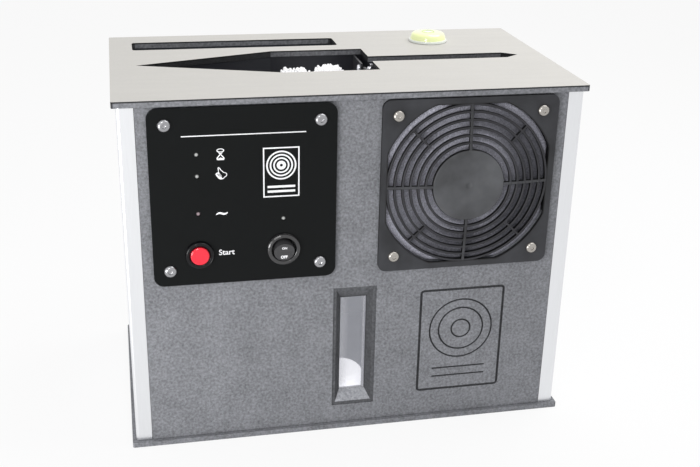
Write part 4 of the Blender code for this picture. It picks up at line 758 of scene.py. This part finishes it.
# One plastic in four greys, as painted light and shade: the middle and spokes lighter, the rings darker.
GUARD_BLACK = guard_finish("guard black", (0.028, 0.029, 0.033), opening_shadow=True)
HUB_PAINTED_LIGHTER = guard_finish("hub black", (0.068, 0.070, 0.075))
RING_PAINTED_DARKER = guard_finish("ring black", (0.025, 0.025, 0.030))
SPOKE_PAINTED_LIGHTER = guard_finish("spoke black", (0.046, 0.047, 0.052))
print("guard at", GUARD_PLACE)

# %% Guard frame
GUARD_THICK = 0.0022
GUARD_ROUNDING = 0.0005
GUARD_CORNER = 6.0
GUARD_PITCH = 52.6
GUARD_HOLE = 2.2


def opening_reach(turn):
    """How far the opening reaches in one direction: a circle cut off by four flats."""
    return min(OPENING, OPENING_FLAT / max(abs(cos(turn)), abs(sin(turn))))


def rounded_square(half, corner, steps=8):
    flat = half - corner
    points = []
    for quarter, (x, y) in enumerate([(1, 1), (-1, 1), (-1, -1), (1, -1)]):
        for n in range(steps + 1):
            turn = (quarter + n / steps) * pi / 2
            points.append((x * flat + corner * cos(turn), y * flat + corner * sin(turn)))
    return points


def round_edges(mesh, rounding):
    """Merge a plate's caps with its walls and round its edges."""
    bm = bmesh.new()
    bm.from_mesh(mesh)
    bmesh.ops.remove_doubles(bm, verts=bm.verts, dist=1e-6)
    bmesh.ops.dissolve_limit(bm, angle_limit=radians(1), verts=bm.verts, edges=bm.edges)
    sharp = [edge for edge in bm.edges if edge.is_manifold and edge.calc_face_angle() > radians(60)]
    bmesh.ops.bevel(bm, geom=sharp, offset=rounding, segments=3, profile=0.5, affect="EDGES",
                    clamp_overlap=True)
    bmesh.ops.recalc_face_normals(bm, faces=bm.faces)
    bm.to_mesh(mesh)
    bm.free()
    smooth(mesh, 40)


def guard_place(depth=0.0):
    """What puts a guard piece in its place, a depth in front of the guard's back."""
    x, y, z = GUARD_PLACE
    return upright(x, y - depth, z) @ Matrix.Scale(GUARD_UNIT / MM, 4)


opening = [(opening_reach(turn) * cos(turn), opening_reach(turn) * sin(turn)) for turn in turns(144)]
holes = [circle(GUARD_HOLE, x * GUARD_PITCH, y * GUARD_PITCH, 24) for x in (-1, 1) for y in (-1, 1)]
outlines = [rounded_square(GUARD_SIDE / 2, GUARD_CORNER), opening, *holes]
mesh = outline_mesh("guard_frame", outlines, GUARD_THICK)
round_edges(mesh, GUARD_ROUNDING)
mesh.transform(guard_place(GUARD_THICK / 2))
piece = add_piece("guard_frame", mesh, GUARD_BLACK, "machine")
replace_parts(piece, "fan_guard")

# %% Guard bars
GUARD_RINGS = (31.4, 36.8, 42.4, 48.0, 53.7, 59.0)
GUARD_DOME = 3.4
SPOKE = (26.0, 60.4)
SHORT_SPOKE = (42.4, 59.0)
RING_WIDTH = 0.0018
SPOKE_WIDTH = 0.0023
BAR_DEPTH = 0.0030


def dome(radius):
    """Height of the bars' middle line above the guard's back, in guard units."""
    return GUARD_THICK / MM + GUARD_DOME * (1 - (radius / OPENING_FLAT) ** 2) - BAR_DEPTH / MM / 2


def ring_path(radius, steps=120):
    return [(radius * cos(turn), radius * sin(turn), dome(radius)) for turn in turns(steps)]


def spoke_path(reach, turn, steps=12):
    start, end = reach
    radii = [start + (end - start) * n / steps for n in range(steps + 1)]
    return [(radius * cos(turn), radius * sin(turn), dome(radius)) for radius in radii]


def path_mesh(closed, opened):
    """Paths as bare edges: closed ones, then open ones."""
    bm = bmesh.new()
    for points in closed + opened:
        corners = [bm.verts.new(point) for point in points]
        ends = corners[1:] + corners[:1] if points in closed else corners[1:]
        for first, second in zip(corners, ends):
            bm.edges.new((first, second))
    mesh = mesh_from("guard_paths", bm)
    mesh.transform(Matrix.Scale(MM, 4))
    return mesh


def bar_tree(finish):
    """Sweep a rounded bar along every path."""
    graph, wires = new_tree("guard bars", "Width", "Depth")
    path = graph.node("GeometryNodeMeshToCurve", {0: wires["Geometry"]})
    level = graph.node("GeometryNodeSetCurveNormal", {0: path}, mode="Z_UP")
    sockets = {"Width": wires["Width"], "Height": wires["Depth"]}
    section = graph.node("GeometryNodeCurvePrimitiveQuadrilateral", sockets)
    sockets = {"Curve": section, "Radius": wires["Width"] * 0.25, "Count": 2}
    eased = graph.node("GeometryNodeFilletCurve", sockets, mode="POLY")
    sockets = {"Curve": level, "Profile Curve": eased, "Fill Caps": True}
    return end_tree(graph, graph.node("GeometryNodeCurveToMesh", sockets), finish)


def make_bars(name, paths, finish, width):
    """Bars of one width along some paths."""
    mesh = bake_nodes(name, paths, bar_tree(finish), {"Width": width, "Depth": BAR_DEPTH})
    smooth(mesh, 50)
    mesh.transform(guard_place())
    add_piece(name, mesh, None, "machine")


RINGS = [ring_path(radius) for radius in GUARD_RINGS]
SHORT_SPOKES = [spoke_path(SHORT_SPOKE, (quarter + 0.5) * pi / 2) for quarter in range(4)]
SPOKES = [spoke_path(SPOKE, quarter * pi / 2) for quarter in range(4)]
make_bars("guard_rings", path_mesh(RINGS, SHORT_SPOKES), RING_PAINTED_DARKER, RING_WIDTH)
make_bars("guard_spokes", path_mesh([], SPOKES), SPOKE_PAINTED_LIGHTER, SPOKE_WIDTH)

# %% Guard middle
HUB = 26.5
HUB_FRONT = GUARD_THICK / MM + GUARD_DOME * (1 - (HUB / OPENING_FLAT) ** 2)
DIMPLE = [(0, -1.0), (1.5, -0.8), (2.2, -0.2), (3.0, 0)]
HUB_RIM = [(HUB - 0.9, 0), (HUB - 0.35, -0.2), (HUB, -0.8), (HUB, -2.8), (0, -2.8)]
HUB_PROFILE = [(radius, HUB_FRONT + height) for radius, height in DIMPLE + HUB_RIM]
turned_piece("guard_hub", HUB_PROFILE, 96, guard_place(), HUB_PAINTED_LIGHTER)

# %% [markdown]
# ## Foam
# Behind the guard lies a sheet of open foam, pale with a purple tinge. It is soft, so its face isn't flat: a
# polar grid follows the opening's outline and swells a little between the bars. Voronoi cells a millimetre
# wide give its pores: dark in the middle of a cell, light along the walls. The shade of the bars and the
# housing is painted on it, most at the lower right.

# %% Foam
FOAM_COLOUR = (0.520, 0.520, 0.600)
FOAM_LOW, FOAM_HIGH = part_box("fan_filter")
FOAM_SWELL = 0.0004
FOAM_RINGS = 36
# Painted shade from the bars and the housing, most at the lower right.
FOAM_PAINTED_SHADE = 0.52
FOAM_PAINTED_FALL = 0.34
FOAM_ZONE = (33, 44, 58.5, 60.5)


def foam_finish():
    """Open-cell foam, with painted shade in a ring and towards the lower right."""
    finish = Finish("grey foam", FOAM_COLOUR, 0.95, Specular_IOR_Level=0.1)
    walls = finish.cells(900.0)
    reach = finish.around(GUARD_PLACE)
    inner, full, last, outer = [radius * GUARD_UNIT for radius in FOAM_ZONE]
    zone = finish.step(reach, inner, full) * (1 - finish.step(reach, last, outer))
    sideways = finish.at("X") - GUARD_PLACE.x
    low_right = finish.step(sideways - 0.6 * (finish.at("Z") - GUARD_PLACE.z), -0.05, 0.05)
    shaded = (1 - FOAM_PAINTED_SHADE * zone * (0.5 + 0.5 * low_right)) * (1 - FOAM_PAINTED_FALL * low_right)
    finish.tint((0.62 + 0.75 * walls) * shaded)
    finish.bump(walls, 0.0006, 0.8)
    return finish


thick = FOAM_HIGH.y - FOAM_LOW.y
front = [(n / FOAM_RINGS, 0) for n in range(FOAM_RINGS)]
rim = [(0.985, -0.1), (1.0, -0.3), (1.0, -0.8), (0.98, -1), (0, -1)]
profile = front + [(share, depth * thick) for share, depth in rim]
mesh = turned_mesh("foam", profile, 144, lambda share, _, turn: share * opening_reach(turn) * GUARD_UNIT)
for vertex in mesh.vertices:
    if vertex.co.z == 0:
        vertex.co.z = -FOAM_SWELL * (0.5 + noise.noise(vertex.co * 160.0))
mesh.transform(upright(GUARD_PLACE.x, FOAM_LOW.y, GUARD_PLACE.z))
piece = add_piece("foam", mesh, foam_finish(), "machine")
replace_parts(piece, "fan_filter")

# %% [markdown]
# ## Screws
# Button head screws hold the control panel and the guard. A head is a turned shape whose innermost rings are
# six-sided, which makes the socket. A Geometry Nodes tree sets one on each point, turned at random about its
# own axis, as screws end up when they are tight.

# %% Screw heads
SOCKET_SHARE = 0.34
SOCKET_POINT = 0.10
SOCKET_FLOOR = 0.47


def six_sided(radius, height, turn):
    """Six sides for the socket's rings, round for the rest."""
    if height < 0 or radius > SOCKET_SHARE:
        return radius
    return radius / cos((turn + pi / 6) % (pi / 3) - pi / 6)


def head_mesh(name, radius, height, length):
    """A screw whose head is seated at zero."""
    outside = [(0.50, 1.0), (0.66, 0.92), (0.80, 0.76), (0.91, 0.52), (0.98, 0.24), (1.0, 0.06), (0.97, 0)]
    socket = [(0, SOCKET_POINT), (SOCKET_SHARE, SOCKET_FLOOR), (SOCKET_SHARE, 0.97)]
    mesh = turned_mesh(name, [*socket, *outside, (0.5, 0), (0.5, -length), (0, -length)], 48, six_sided)
    mesh.transform(Matrix.Diagonal((radius, radius, height, 1)))
    return mesh


def screw_tree(head, finish):
    """Put a head on each point, turned at random."""
    graph, wires = new_tree("screws", "Seed")
    shape = graph.node("GeometryNodeObjectInfo", {"Object": head}, "Geometry")
    sockets = {0: (0.0, 0.0, 0.0), 1: (0.0, 0.0, 2 * pi), "Seed": wires["Seed"]}
    spin = graph.node("FunctionNodeRandomValue", sockets, data_type="FLOAT_VECTOR")
    turned = graph.node("FunctionNodeEulerToRotation", {0: spin})
    points = graph.node("GeometryNodeMeshToPoints", {"Mesh": wires["Geometry"]})
    sockets = {"Points": points, "Instance": shape, "Rotation": turned}
    return end_tree(graph, graph.node("GeometryNodeInstanceOnPoints", sockets), finish)


# %% Set the screws
def set_screws(kind, seat, seed, finish, grow):
    """Four screws of a kind, in the places of their solids, seated on a face at seat."""
    nodes = [f"{kind}_screw_{n}" for n in range(1, 5)]
    low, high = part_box(nodes[0])
    height = seat - low.y
    shape = head_mesh(kind + "_head", (high.x - low.x) / 2 * grow, height, (high.y - seat) / height)
    head = new_object(kind + "_head", shape)
    points = bpy.data.meshes.new(kind + "_points")
    points.from_pydata([(middle_of(node).x, middle_of(node).z, 0) for node in nodes], [], [])
    mesh = bake_nodes(kind + "_screws", points, screw_tree(head, finish), {"Seed": seed})
    bpy.data.objects.remove(head, do_unlink=True)
    smooth(mesh, 35)
    mesh.transform(upright(0, seat, 0))
    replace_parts(add_piece(kind + "_screws", mesh, None, "machine"), *nodes)


set_screws("panel", PANEL_FRONT, 3, STAINLESS, 1.06)
set_screws("guard", GUARD_HIGH.y - GUARD_THICK, 7, WARM_STEEL, 1.10)

# %% [markdown]
# ## Fittings of the record guides
# At the right of the mouth each guide carries a small metal block with a screw on it, and one screw more: in
# the rear guide's side and on the front guide's top. They catch the light in the dark.

# %% Guide fittings
GUIDE_LOW, GUIDE_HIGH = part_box("record_guide_rear")
BLOCK_SIZE = (0.0058, 0.0095, 0.0045)
BLOCK_OUT = 0.0036
BLOCK_IN = 0.001
BLOCK_DROP = 0.0004
SIDE_SCREW = (0.0056, 0.0045)
FRONT_SCREW = (0.0033, 0.0052)
BRIGHT = steel_finish("bright screw", (0.80, 0.80, 0.84), 0.30)


def add_block(bm, centre, size, rounding=0.0005):
    """Add a rounded block to a mesh."""
    made = bmesh.ops.create_cube(bm, size=1, matrix=Matrix.Translation(centre) @ Matrix.Diagonal((*size, 1)))
    edges = list({edge for vertex in made["verts"] for edge in vertex.link_edges})
    bmesh.ops.bevel(bm, geom=edges, offset=rounding, segments=2, profile=0.5, affect="EDGES")


def add_head(bm, place, radius, turn=Matrix.Identity(4)):
    """Add a small screw head to a mesh."""
    head = head_mesh("guide_head", radius, radius * 0.7, 1.0)
    head.transform(Matrix.Translation(place) @ turn)
    bm.from_mesh(head)
    bpy.data.meshes.remove(head)


bm = bmesh.new()
x = GUIDE_HIGH.x + BLOCK_OUT
top = GUIDE_HIGH.z - BLOCK_DROP
for side in (-1, 1):
    y = side * (GUIDE_LOW.y + BLOCK_SIZE[1] / 2 + BLOCK_IN)
    add_block(bm, (x, y, top - BLOCK_SIZE[2] / 2), BLOCK_SIZE)
    add_head(bm, (x, y, top), 0.0018)
spot = (GUIDE_LOW.x, GUIDE_LOW.y + SIDE_SCREW[0], GUIDE_HIGH.z - SIDE_SCREW[1])
add_head(bm, spot, 0.0026, Matrix.Rotation(-pi / 2, 4, "Y"))
add_head(bm, (GUIDE_LOW.x + FRONT_SCREW[0], -GUIDE_LOW.y - FRONT_SCREW[1], GUIDE_HIGH.z), 0.0020)
mesh = mesh_from("guide_fittings", bm)
smooth(mesh, 35)
add_piece("guide_fittings", mesh, BRIGHT, "machine")

# %% [markdown]
# ## Microfibre rollers
# The rollers wear sleeves of thick chenille: hundreds of soft fingers that stand out from a woven tube.
# Geometry Nodes scatter points over the sleeve with a least distance between them, and on each stands a
# finger, turned outwards and tipped over by chance.

# %% Finger tree
FINGER_LEAN = 0.55


def finger_tree(finish):
    """Scatter bent fingers over a sleeve."""
    graph, wires = new_tree("chenille", "Spacing", "Thickness", "Reach", "Seed")
    sleeve, thick, reach, seed = [wires[name] for name in ("Geometry", "Thickness", "Reach", "Seed")]
    sockets = {"Mesh": sleeve, "Distance Min": wires["Spacing"], "Density Max": 400000.0, "Seed": seed}
    scatter = graph.node("GeometryNodeDistributePointsOnFaces", sockets, distribute_method="POISSON")
    ball = graph.node("GeometryNodeMeshUVSphere", {"Segments": 7, "Rings": 6, "Radius": 1.0})
    size = graph.node("ShaderNodeCombineXYZ", {0: thick, 1: thick, 2: reach})
    lift = graph.node("ShaderNodeCombineXYZ", {2: reach * 0.75})
    finger = graph.node("GeometryNodeTransform", {"Geometry": ball, "Translation": lift, "Scale": size})
    sockets = {0: (-FINGER_LEAN, -FINGER_LEAN, 0.0), 1: (FINGER_LEAN, FINGER_LEAN, 6.28), "Seed": seed}
    tip = graph.node("FunctionNodeRandomValue", sockets, data_type="FLOAT_VECTOR")
    bend = graph.node("FunctionNodeEulerToRotation", {0: tip})
    outwards = Wire(graph, scatter.socket.node.outputs["Rotation"])
    lean = graph.node("FunctionNodeRotateRotation", {0: outwards, 1: bend}, rotation_space="LOCAL")
    grow = graph.node("FunctionNodeRandomValue", {2: 0.75, 3: 1.15, "Seed": seed + 1}, 1, data_type="FLOAT")
    sockets = {"Points": scatter, "Instance": finger, "Rotation": lean, "Scale": grow}
    stand = graph.node("GeometryNodeInstanceOnPoints", sockets)
    both = graph.tree.nodes.new("GeometryNodeJoinGeometry")
    graph.tree.links.new(stand.socket, both.inputs[0])
    graph.tree.links.new(sleeve.socket, both.inputs[0])
    return end_tree(graph, Wire(graph, both.outputs[0]), finish)


# %% Dress the rollers
SLEEVE_CORE_SHARE = 0.88
FINGER = {"Spacing": 0.0021, "Thickness": 0.00125, "Reach": 0.0024}
PILE_LIFT = {"left": -0.0001, "right": 0.0012}


def pile_finish():
    """White microfibre, slightly grey between its fibres, with a little glow as painted light."""
    # The emission is painted light that brightens the pile as a whole.
    finish = Finish("white pile", (0.90, 0.90, 0.91), 0.95, Sheen_Weight=0.4, Specular_IOR_Level=0.15,
                    Emission_Color=(1, 1, 1, 1), Emission_Strength=0.22)
    fibres = finish.noise(3000.0)
    finish.tint(0.90 + 0.16 * fibres)
    finish.bump(fibres, 0.0001)
    return finish


def dress_roller(corner, tree, seed):
    """Replace a plain sleeve with its pile; the right ones reach a little higher."""
    node = f"roller_sleeve_{corner}"
    low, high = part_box(node)
    radius = (high.x - low.x) / 2 * SLEEVE_CORE_SHARE
    bore = radius * 0.30
    rounding = radius * 0.12
    top = high.z + PILE_LIFT[corner.split("_")[1]]
    outside = [(radius - rounding, top), (radius, top - rounding), (radius, low.z)]
    core = turned_mesh(node + "_core", [(bore, top), *outside, (bore, low.z), (bore, top)], 40)
    middle = middle_of(node)
    core.transform(Matrix.Translation((middle.x, middle.y, 0)))
    mesh = bake_nodes(f"pile_{corner}", core, tree, {**FINGER, "Seed": seed})
    mesh.shade_smooth()
    piece = add_piece(f"pile_{corner}", mesh, None, f"roller_{corner}")
    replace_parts(piece, node)


CHENILLE = finger_tree(pile_finish())
for seed, corner in enumerate(CORNERS, 11):
    dress_roller(corner, CHENILLE, seed)

# %% [markdown]
# ## Printed signs
# The control panel is printed in white: an hourglass, a thumb, a wave, the word on the start button, an
# emblem of plain rings and a rule. Each is a flat outline filled by a 2D curve, a twentieth of a millimetre
# thick, which is made a mesh before it is put in its place, so that its own shape needs no turned object.

# %% Shapes of the signs, in millimetres
def hourglass():
    """A rimmed top with a hollow, a narrow neck, and an open foot with sand in it."""
    upper = [(x * 2.6, 2.35 + y * 1.45) for x, y in circle(1)]
    hollow = [(x * 1.9, 2.45 + y * 0.75) for x, y in circle(1)]
    neck = [(-1.8, 1.3), (1.8, 1.3), (0.45, -0.3), (-0.45, -0.3)]
    lower = [(-0.45, -0.1), (0.45, -0.1), (2.6, -2.7), (2.7, -3.6), (2.1, -4.4), (-2.1, -4.4), (-2.7, -3.6),
             (-2.6, -2.7)]
    gap = [(0.0, -0.7), (1.95, -3.1), (1.1, -3.1), (0.0, -2.5), (-1.1, -3.1), (-1.95, -3.1)]
    return [upper, hollow, neck, lower, gap]


def thumb():
    """A raised thumb, drawn as an outline, over the three curled fingers of a leaning hand."""
    outer = [(-1.5, 4.5), (-0.7, 3.9), (0.2, 2.4), (1.9, 0.8), (3.4, 0.3), (4.1, -0.8), (3.7, -2.3),
             (2.5, -2.9), (1.6, -4.1), (-0.4, -4.4), (-1.9, -3.6), (-3.1, -2.0), (-3.9, -0.5), (-3.1, 0.5),
             (-1.8, 0.9), (-2.1, 2.4), (-2.3, 3.9)]
    inner = [(-1.6, 4.0), (-0.2, 2.1), (1.5, 0.4), (3.1, -0.1), (3.6, -1.0), (3.2, -2.0), (2.1, -2.6),
             (1.3, -3.7), (0.6, -3.4), (0.1, -1.5), (-1.1, 0.0), (-1.5, 1.4)]
    marks = [outer, inner]
    for x in (-2.9, -2.1, -1.3):
        y = -0.3 * x - 0.9
        marks.append([(x, y), (x + 0.3, y + 0.1), (x + 1.7, y - 2.1), (x + 1.4, y - 2.2)])
    return marks


def wave(width=8.0, height=0.67, rise=1.18, thick=1.5, steps=20):
    """One period of a rising wave as a band that thins towards its ends."""
    upper = []
    lower = []
    for n in range(steps + 1):
        share = n / steps
        x = (share - 0.5) * width
        y = height * sin(2 * pi * share) + rise * (share - 0.5)
        half = thick / 2 * (0.55 + 0.45 * sin(pi * share))
        upper.append((x, y + half))
        lower.append((x, y - half))
    return upper + lower[::-1]


def emblem(width=25.1, height=35.9, line=0.9):
    """A framed record over two bars."""
    x = width / 2
    y = height / 2
    marks = [block(-x, -y, x, y), block(line - x, line - y, x - line, y - line)]
    for radius in (10.4, 9.3, 8.0, 6.9, 5.6, 4.5, 3.2, 1.0):
        marks.append(circle(radius, 0, height * 0.14))
    return marks + [block(-9.6, -11.2, 9.6, -9.6), block(-9.6, -14.6, 9.6, -13.0)]


# %% Print on the panel
def flecked_finish(name, colour, roughness, low, depth, scale, **more):
    """A finish whose tone runs from low upwards with a noise."""
    finish = Finish(name, colour, roughness, **more)
    finish.tint(low + depth * finish.noise(scale))
    return finish


def sign(name, mesh, x, z):
    """A printed sign whose middle is x and z from the panel's own middle, in millimetres."""
    mesh.transform(upright(PANEL_MIDDLE.x + x * MM, PANEL_FRONT - INK / 2, PANEL_MIDDLE.z + z * MM))
    add_piece(name, mesh, WHITE_INK, "machine")


WHITE_INK = flecked_finish("white print", (0.93, 0.93, 0.95), 0.45, 0.97, 0.06, 900.0, Specular_IOR_Level=0.2)
MARKS = {
    "hourglass": (hourglass(), -15.9, 31.4),
    "thumb": (thumb(), -15.8, 17.6),
    "wave": ([wave()], -15.9, -11.6),
    "emblem": (emblem(), 25.3, 16.3),
    "rule": ([block(-42.0, -0.35, 42.0, 0.35)], 0.3, 44.5),
}
for name, (outlines, x, z) in MARKS.items():
    sign("sign_" + name, outline_mesh("sign_" + name, outlines), x, z)

# %% Lettering
def word_mesh(name, word, height, width, weight):
    """A word in plain letters, scaled to a height and a width in millimetres."""
    letters = bpy.data.curves.new(name, "FONT")
    letters.body = word
    letters.extrude = INK / 2
    letters.offset = weight
    mesh = curve_mesh(name, letters)
    xs = [vertex.co.x for vertex in mesh.vertices]
    ys = [vertex.co.y for vertex in mesh.vertices]
    middle = Matrix.Translation((-(min(xs) + max(xs)) / 2, -(min(ys) + max(ys)) / 2, 0))
    grow = Matrix.Diagonal((width * MM / (max(xs) - min(xs)), height * MM / (max(ys) - min(ys)), 1, 1))
    mesh.transform(grow @ middle)
    return mesh


sign("sign_start", word_mesh("sign_start", "Start", 4.2, 10.9, 0.01), -13.2, -40.6)

# %% [markdown]
# ## ON and OFF
# The rocker is a shallow V, so its two words lie on two planes. The rocker's own tilt and the slope of each
# half give the turn of each word. The words ride on the rocker's body and tip over with it.

# %% Rocker words
ROCKER_JOINT = next(joint for joint in frame["joints"] if joint["name"] == "power_rock")
ROCKER_PIVOT = Vector(ROCKER_JOINT["pos_m"])
ROCKER_TILT = radians(15)
ROCKER_VALLEY = 0.0040
ROCKER_END = 0.0048
ROCKER_RADIUS = 0.0073


def rocker_word(name, word, height, width, along):
    """A word on one half of the rocker, along millimetres above its middle."""
    rise = (ROCKER_END - ROCKER_VALLEY) / ROCKER_RADIUS
    slope = atan(rise) if along > 0 else -atan(rise)
    mesh = word_mesh(name, word, height, width, 0.05)
    on_half = Matrix.Translation((0, along * MM, ROCKER_VALLEY + abs(along) * MM * rise + INK))
    on_half = on_half @ Matrix.Rotation(slope, 4, "X")
    mesh.transform(Matrix.Translation(ROCKER_PIVOT) @ Matrix.Rotation(pi / 2 + ROCKER_TILT, 4, "X") @ on_half)
    add_piece(name, mesh, WHITE_INK, "power_rocker")


rocker_word("sign_on", "ON", 2.1, 3.6, 3.4)
rocker_word("sign_off", "OFF", 2.5, 4.8, -4.3)

# %% [markdown]
# ## The bubble level
# A small round level lies on the top plate: a clear rim, a yellow-green liquid under a domed lens, a ring
# printed on the lens and the pale bubble in its middle. The solid is replaced by these four turned pieces.

# %% Level
LEVEL_LOW, LEVEL_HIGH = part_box("bubble_level")
LEVEL_MIDDLE = middle_of("bubble_level")
LEVEL_PLACE = Matrix.Translation((LEVEL_MIDDLE.x, LEVEL_MIDDLE.y, LEVEL_LOW.z))
LIQUID = (0.93, 1.0, 0.50)
LEVEL_BODY = [(0, 7.4), (10.2, 7.1), (12.6, 6.4), (13.4, 5.2), (14.3, 2.4), (14.5, 1.6), (14.5, 0.4),
              (0, 0.4)]
LEVEL_RIM = [(14.4, 1.9), (15.1, 1.8), (15.4, 1.3), (15.4, 0.0), (14.4, 0.0), (14.4, 1.9)]
LEVEL_BUBBLE = [(0, 7.75), (2.2, 7.6), (3.0, 7.2), (0, 7.0)]
LEVEL_MARK = [(4.6, 7.42), (5.2, 7.40), (5.2, 7.1), (4.6, 7.1), (4.6, 7.42)]


def liquid_finish():
    """A liquid under a clear lens, glowing a little and painted lighter towards its top, both painted light.
    """
    # The emission and the lighter top are painted light.
    finish = Finish("level liquid", LIQUID, 0.10, Coat_Weight=0.6, Coat_Roughness=0.03,
                    Emission_Color=(*LIQUID, 1), Emission_Strength=0.10)
    finish.tint(0.92 + 0.10 * finish.step(finish.at("Z"), LEVEL_LOW.z + 0.0015, LEVEL_HIGH.z))
    return finish


CLEAR_RIM = flecked_finish("level rim", (0.86, 0.90, 0.84), 0.15, 0.95, 0.08, 200.0, Coat_Weight=0.5)
DARK_RING = flecked_finish("level mark", (0.42, 0.55, 0.22), 0.4, 0.9, 0.2, 400.0)
BODY = turned_piece("level_body", LEVEL_BODY, 56, LEVEL_PLACE, liquid_finish())
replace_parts(BODY, "bubble_level")
turned_piece("level_rim", LEVEL_RIM, 56, LEVEL_PLACE, CLEAR_RIM)
turned_piece("level_bubble", LEVEL_BUBBLE, 56, LEVEL_PLACE, CLEAR_RIM)
turned_piece("level_mark", LEVEL_MARK, 56, LEVEL_PLACE, DARK_RING)
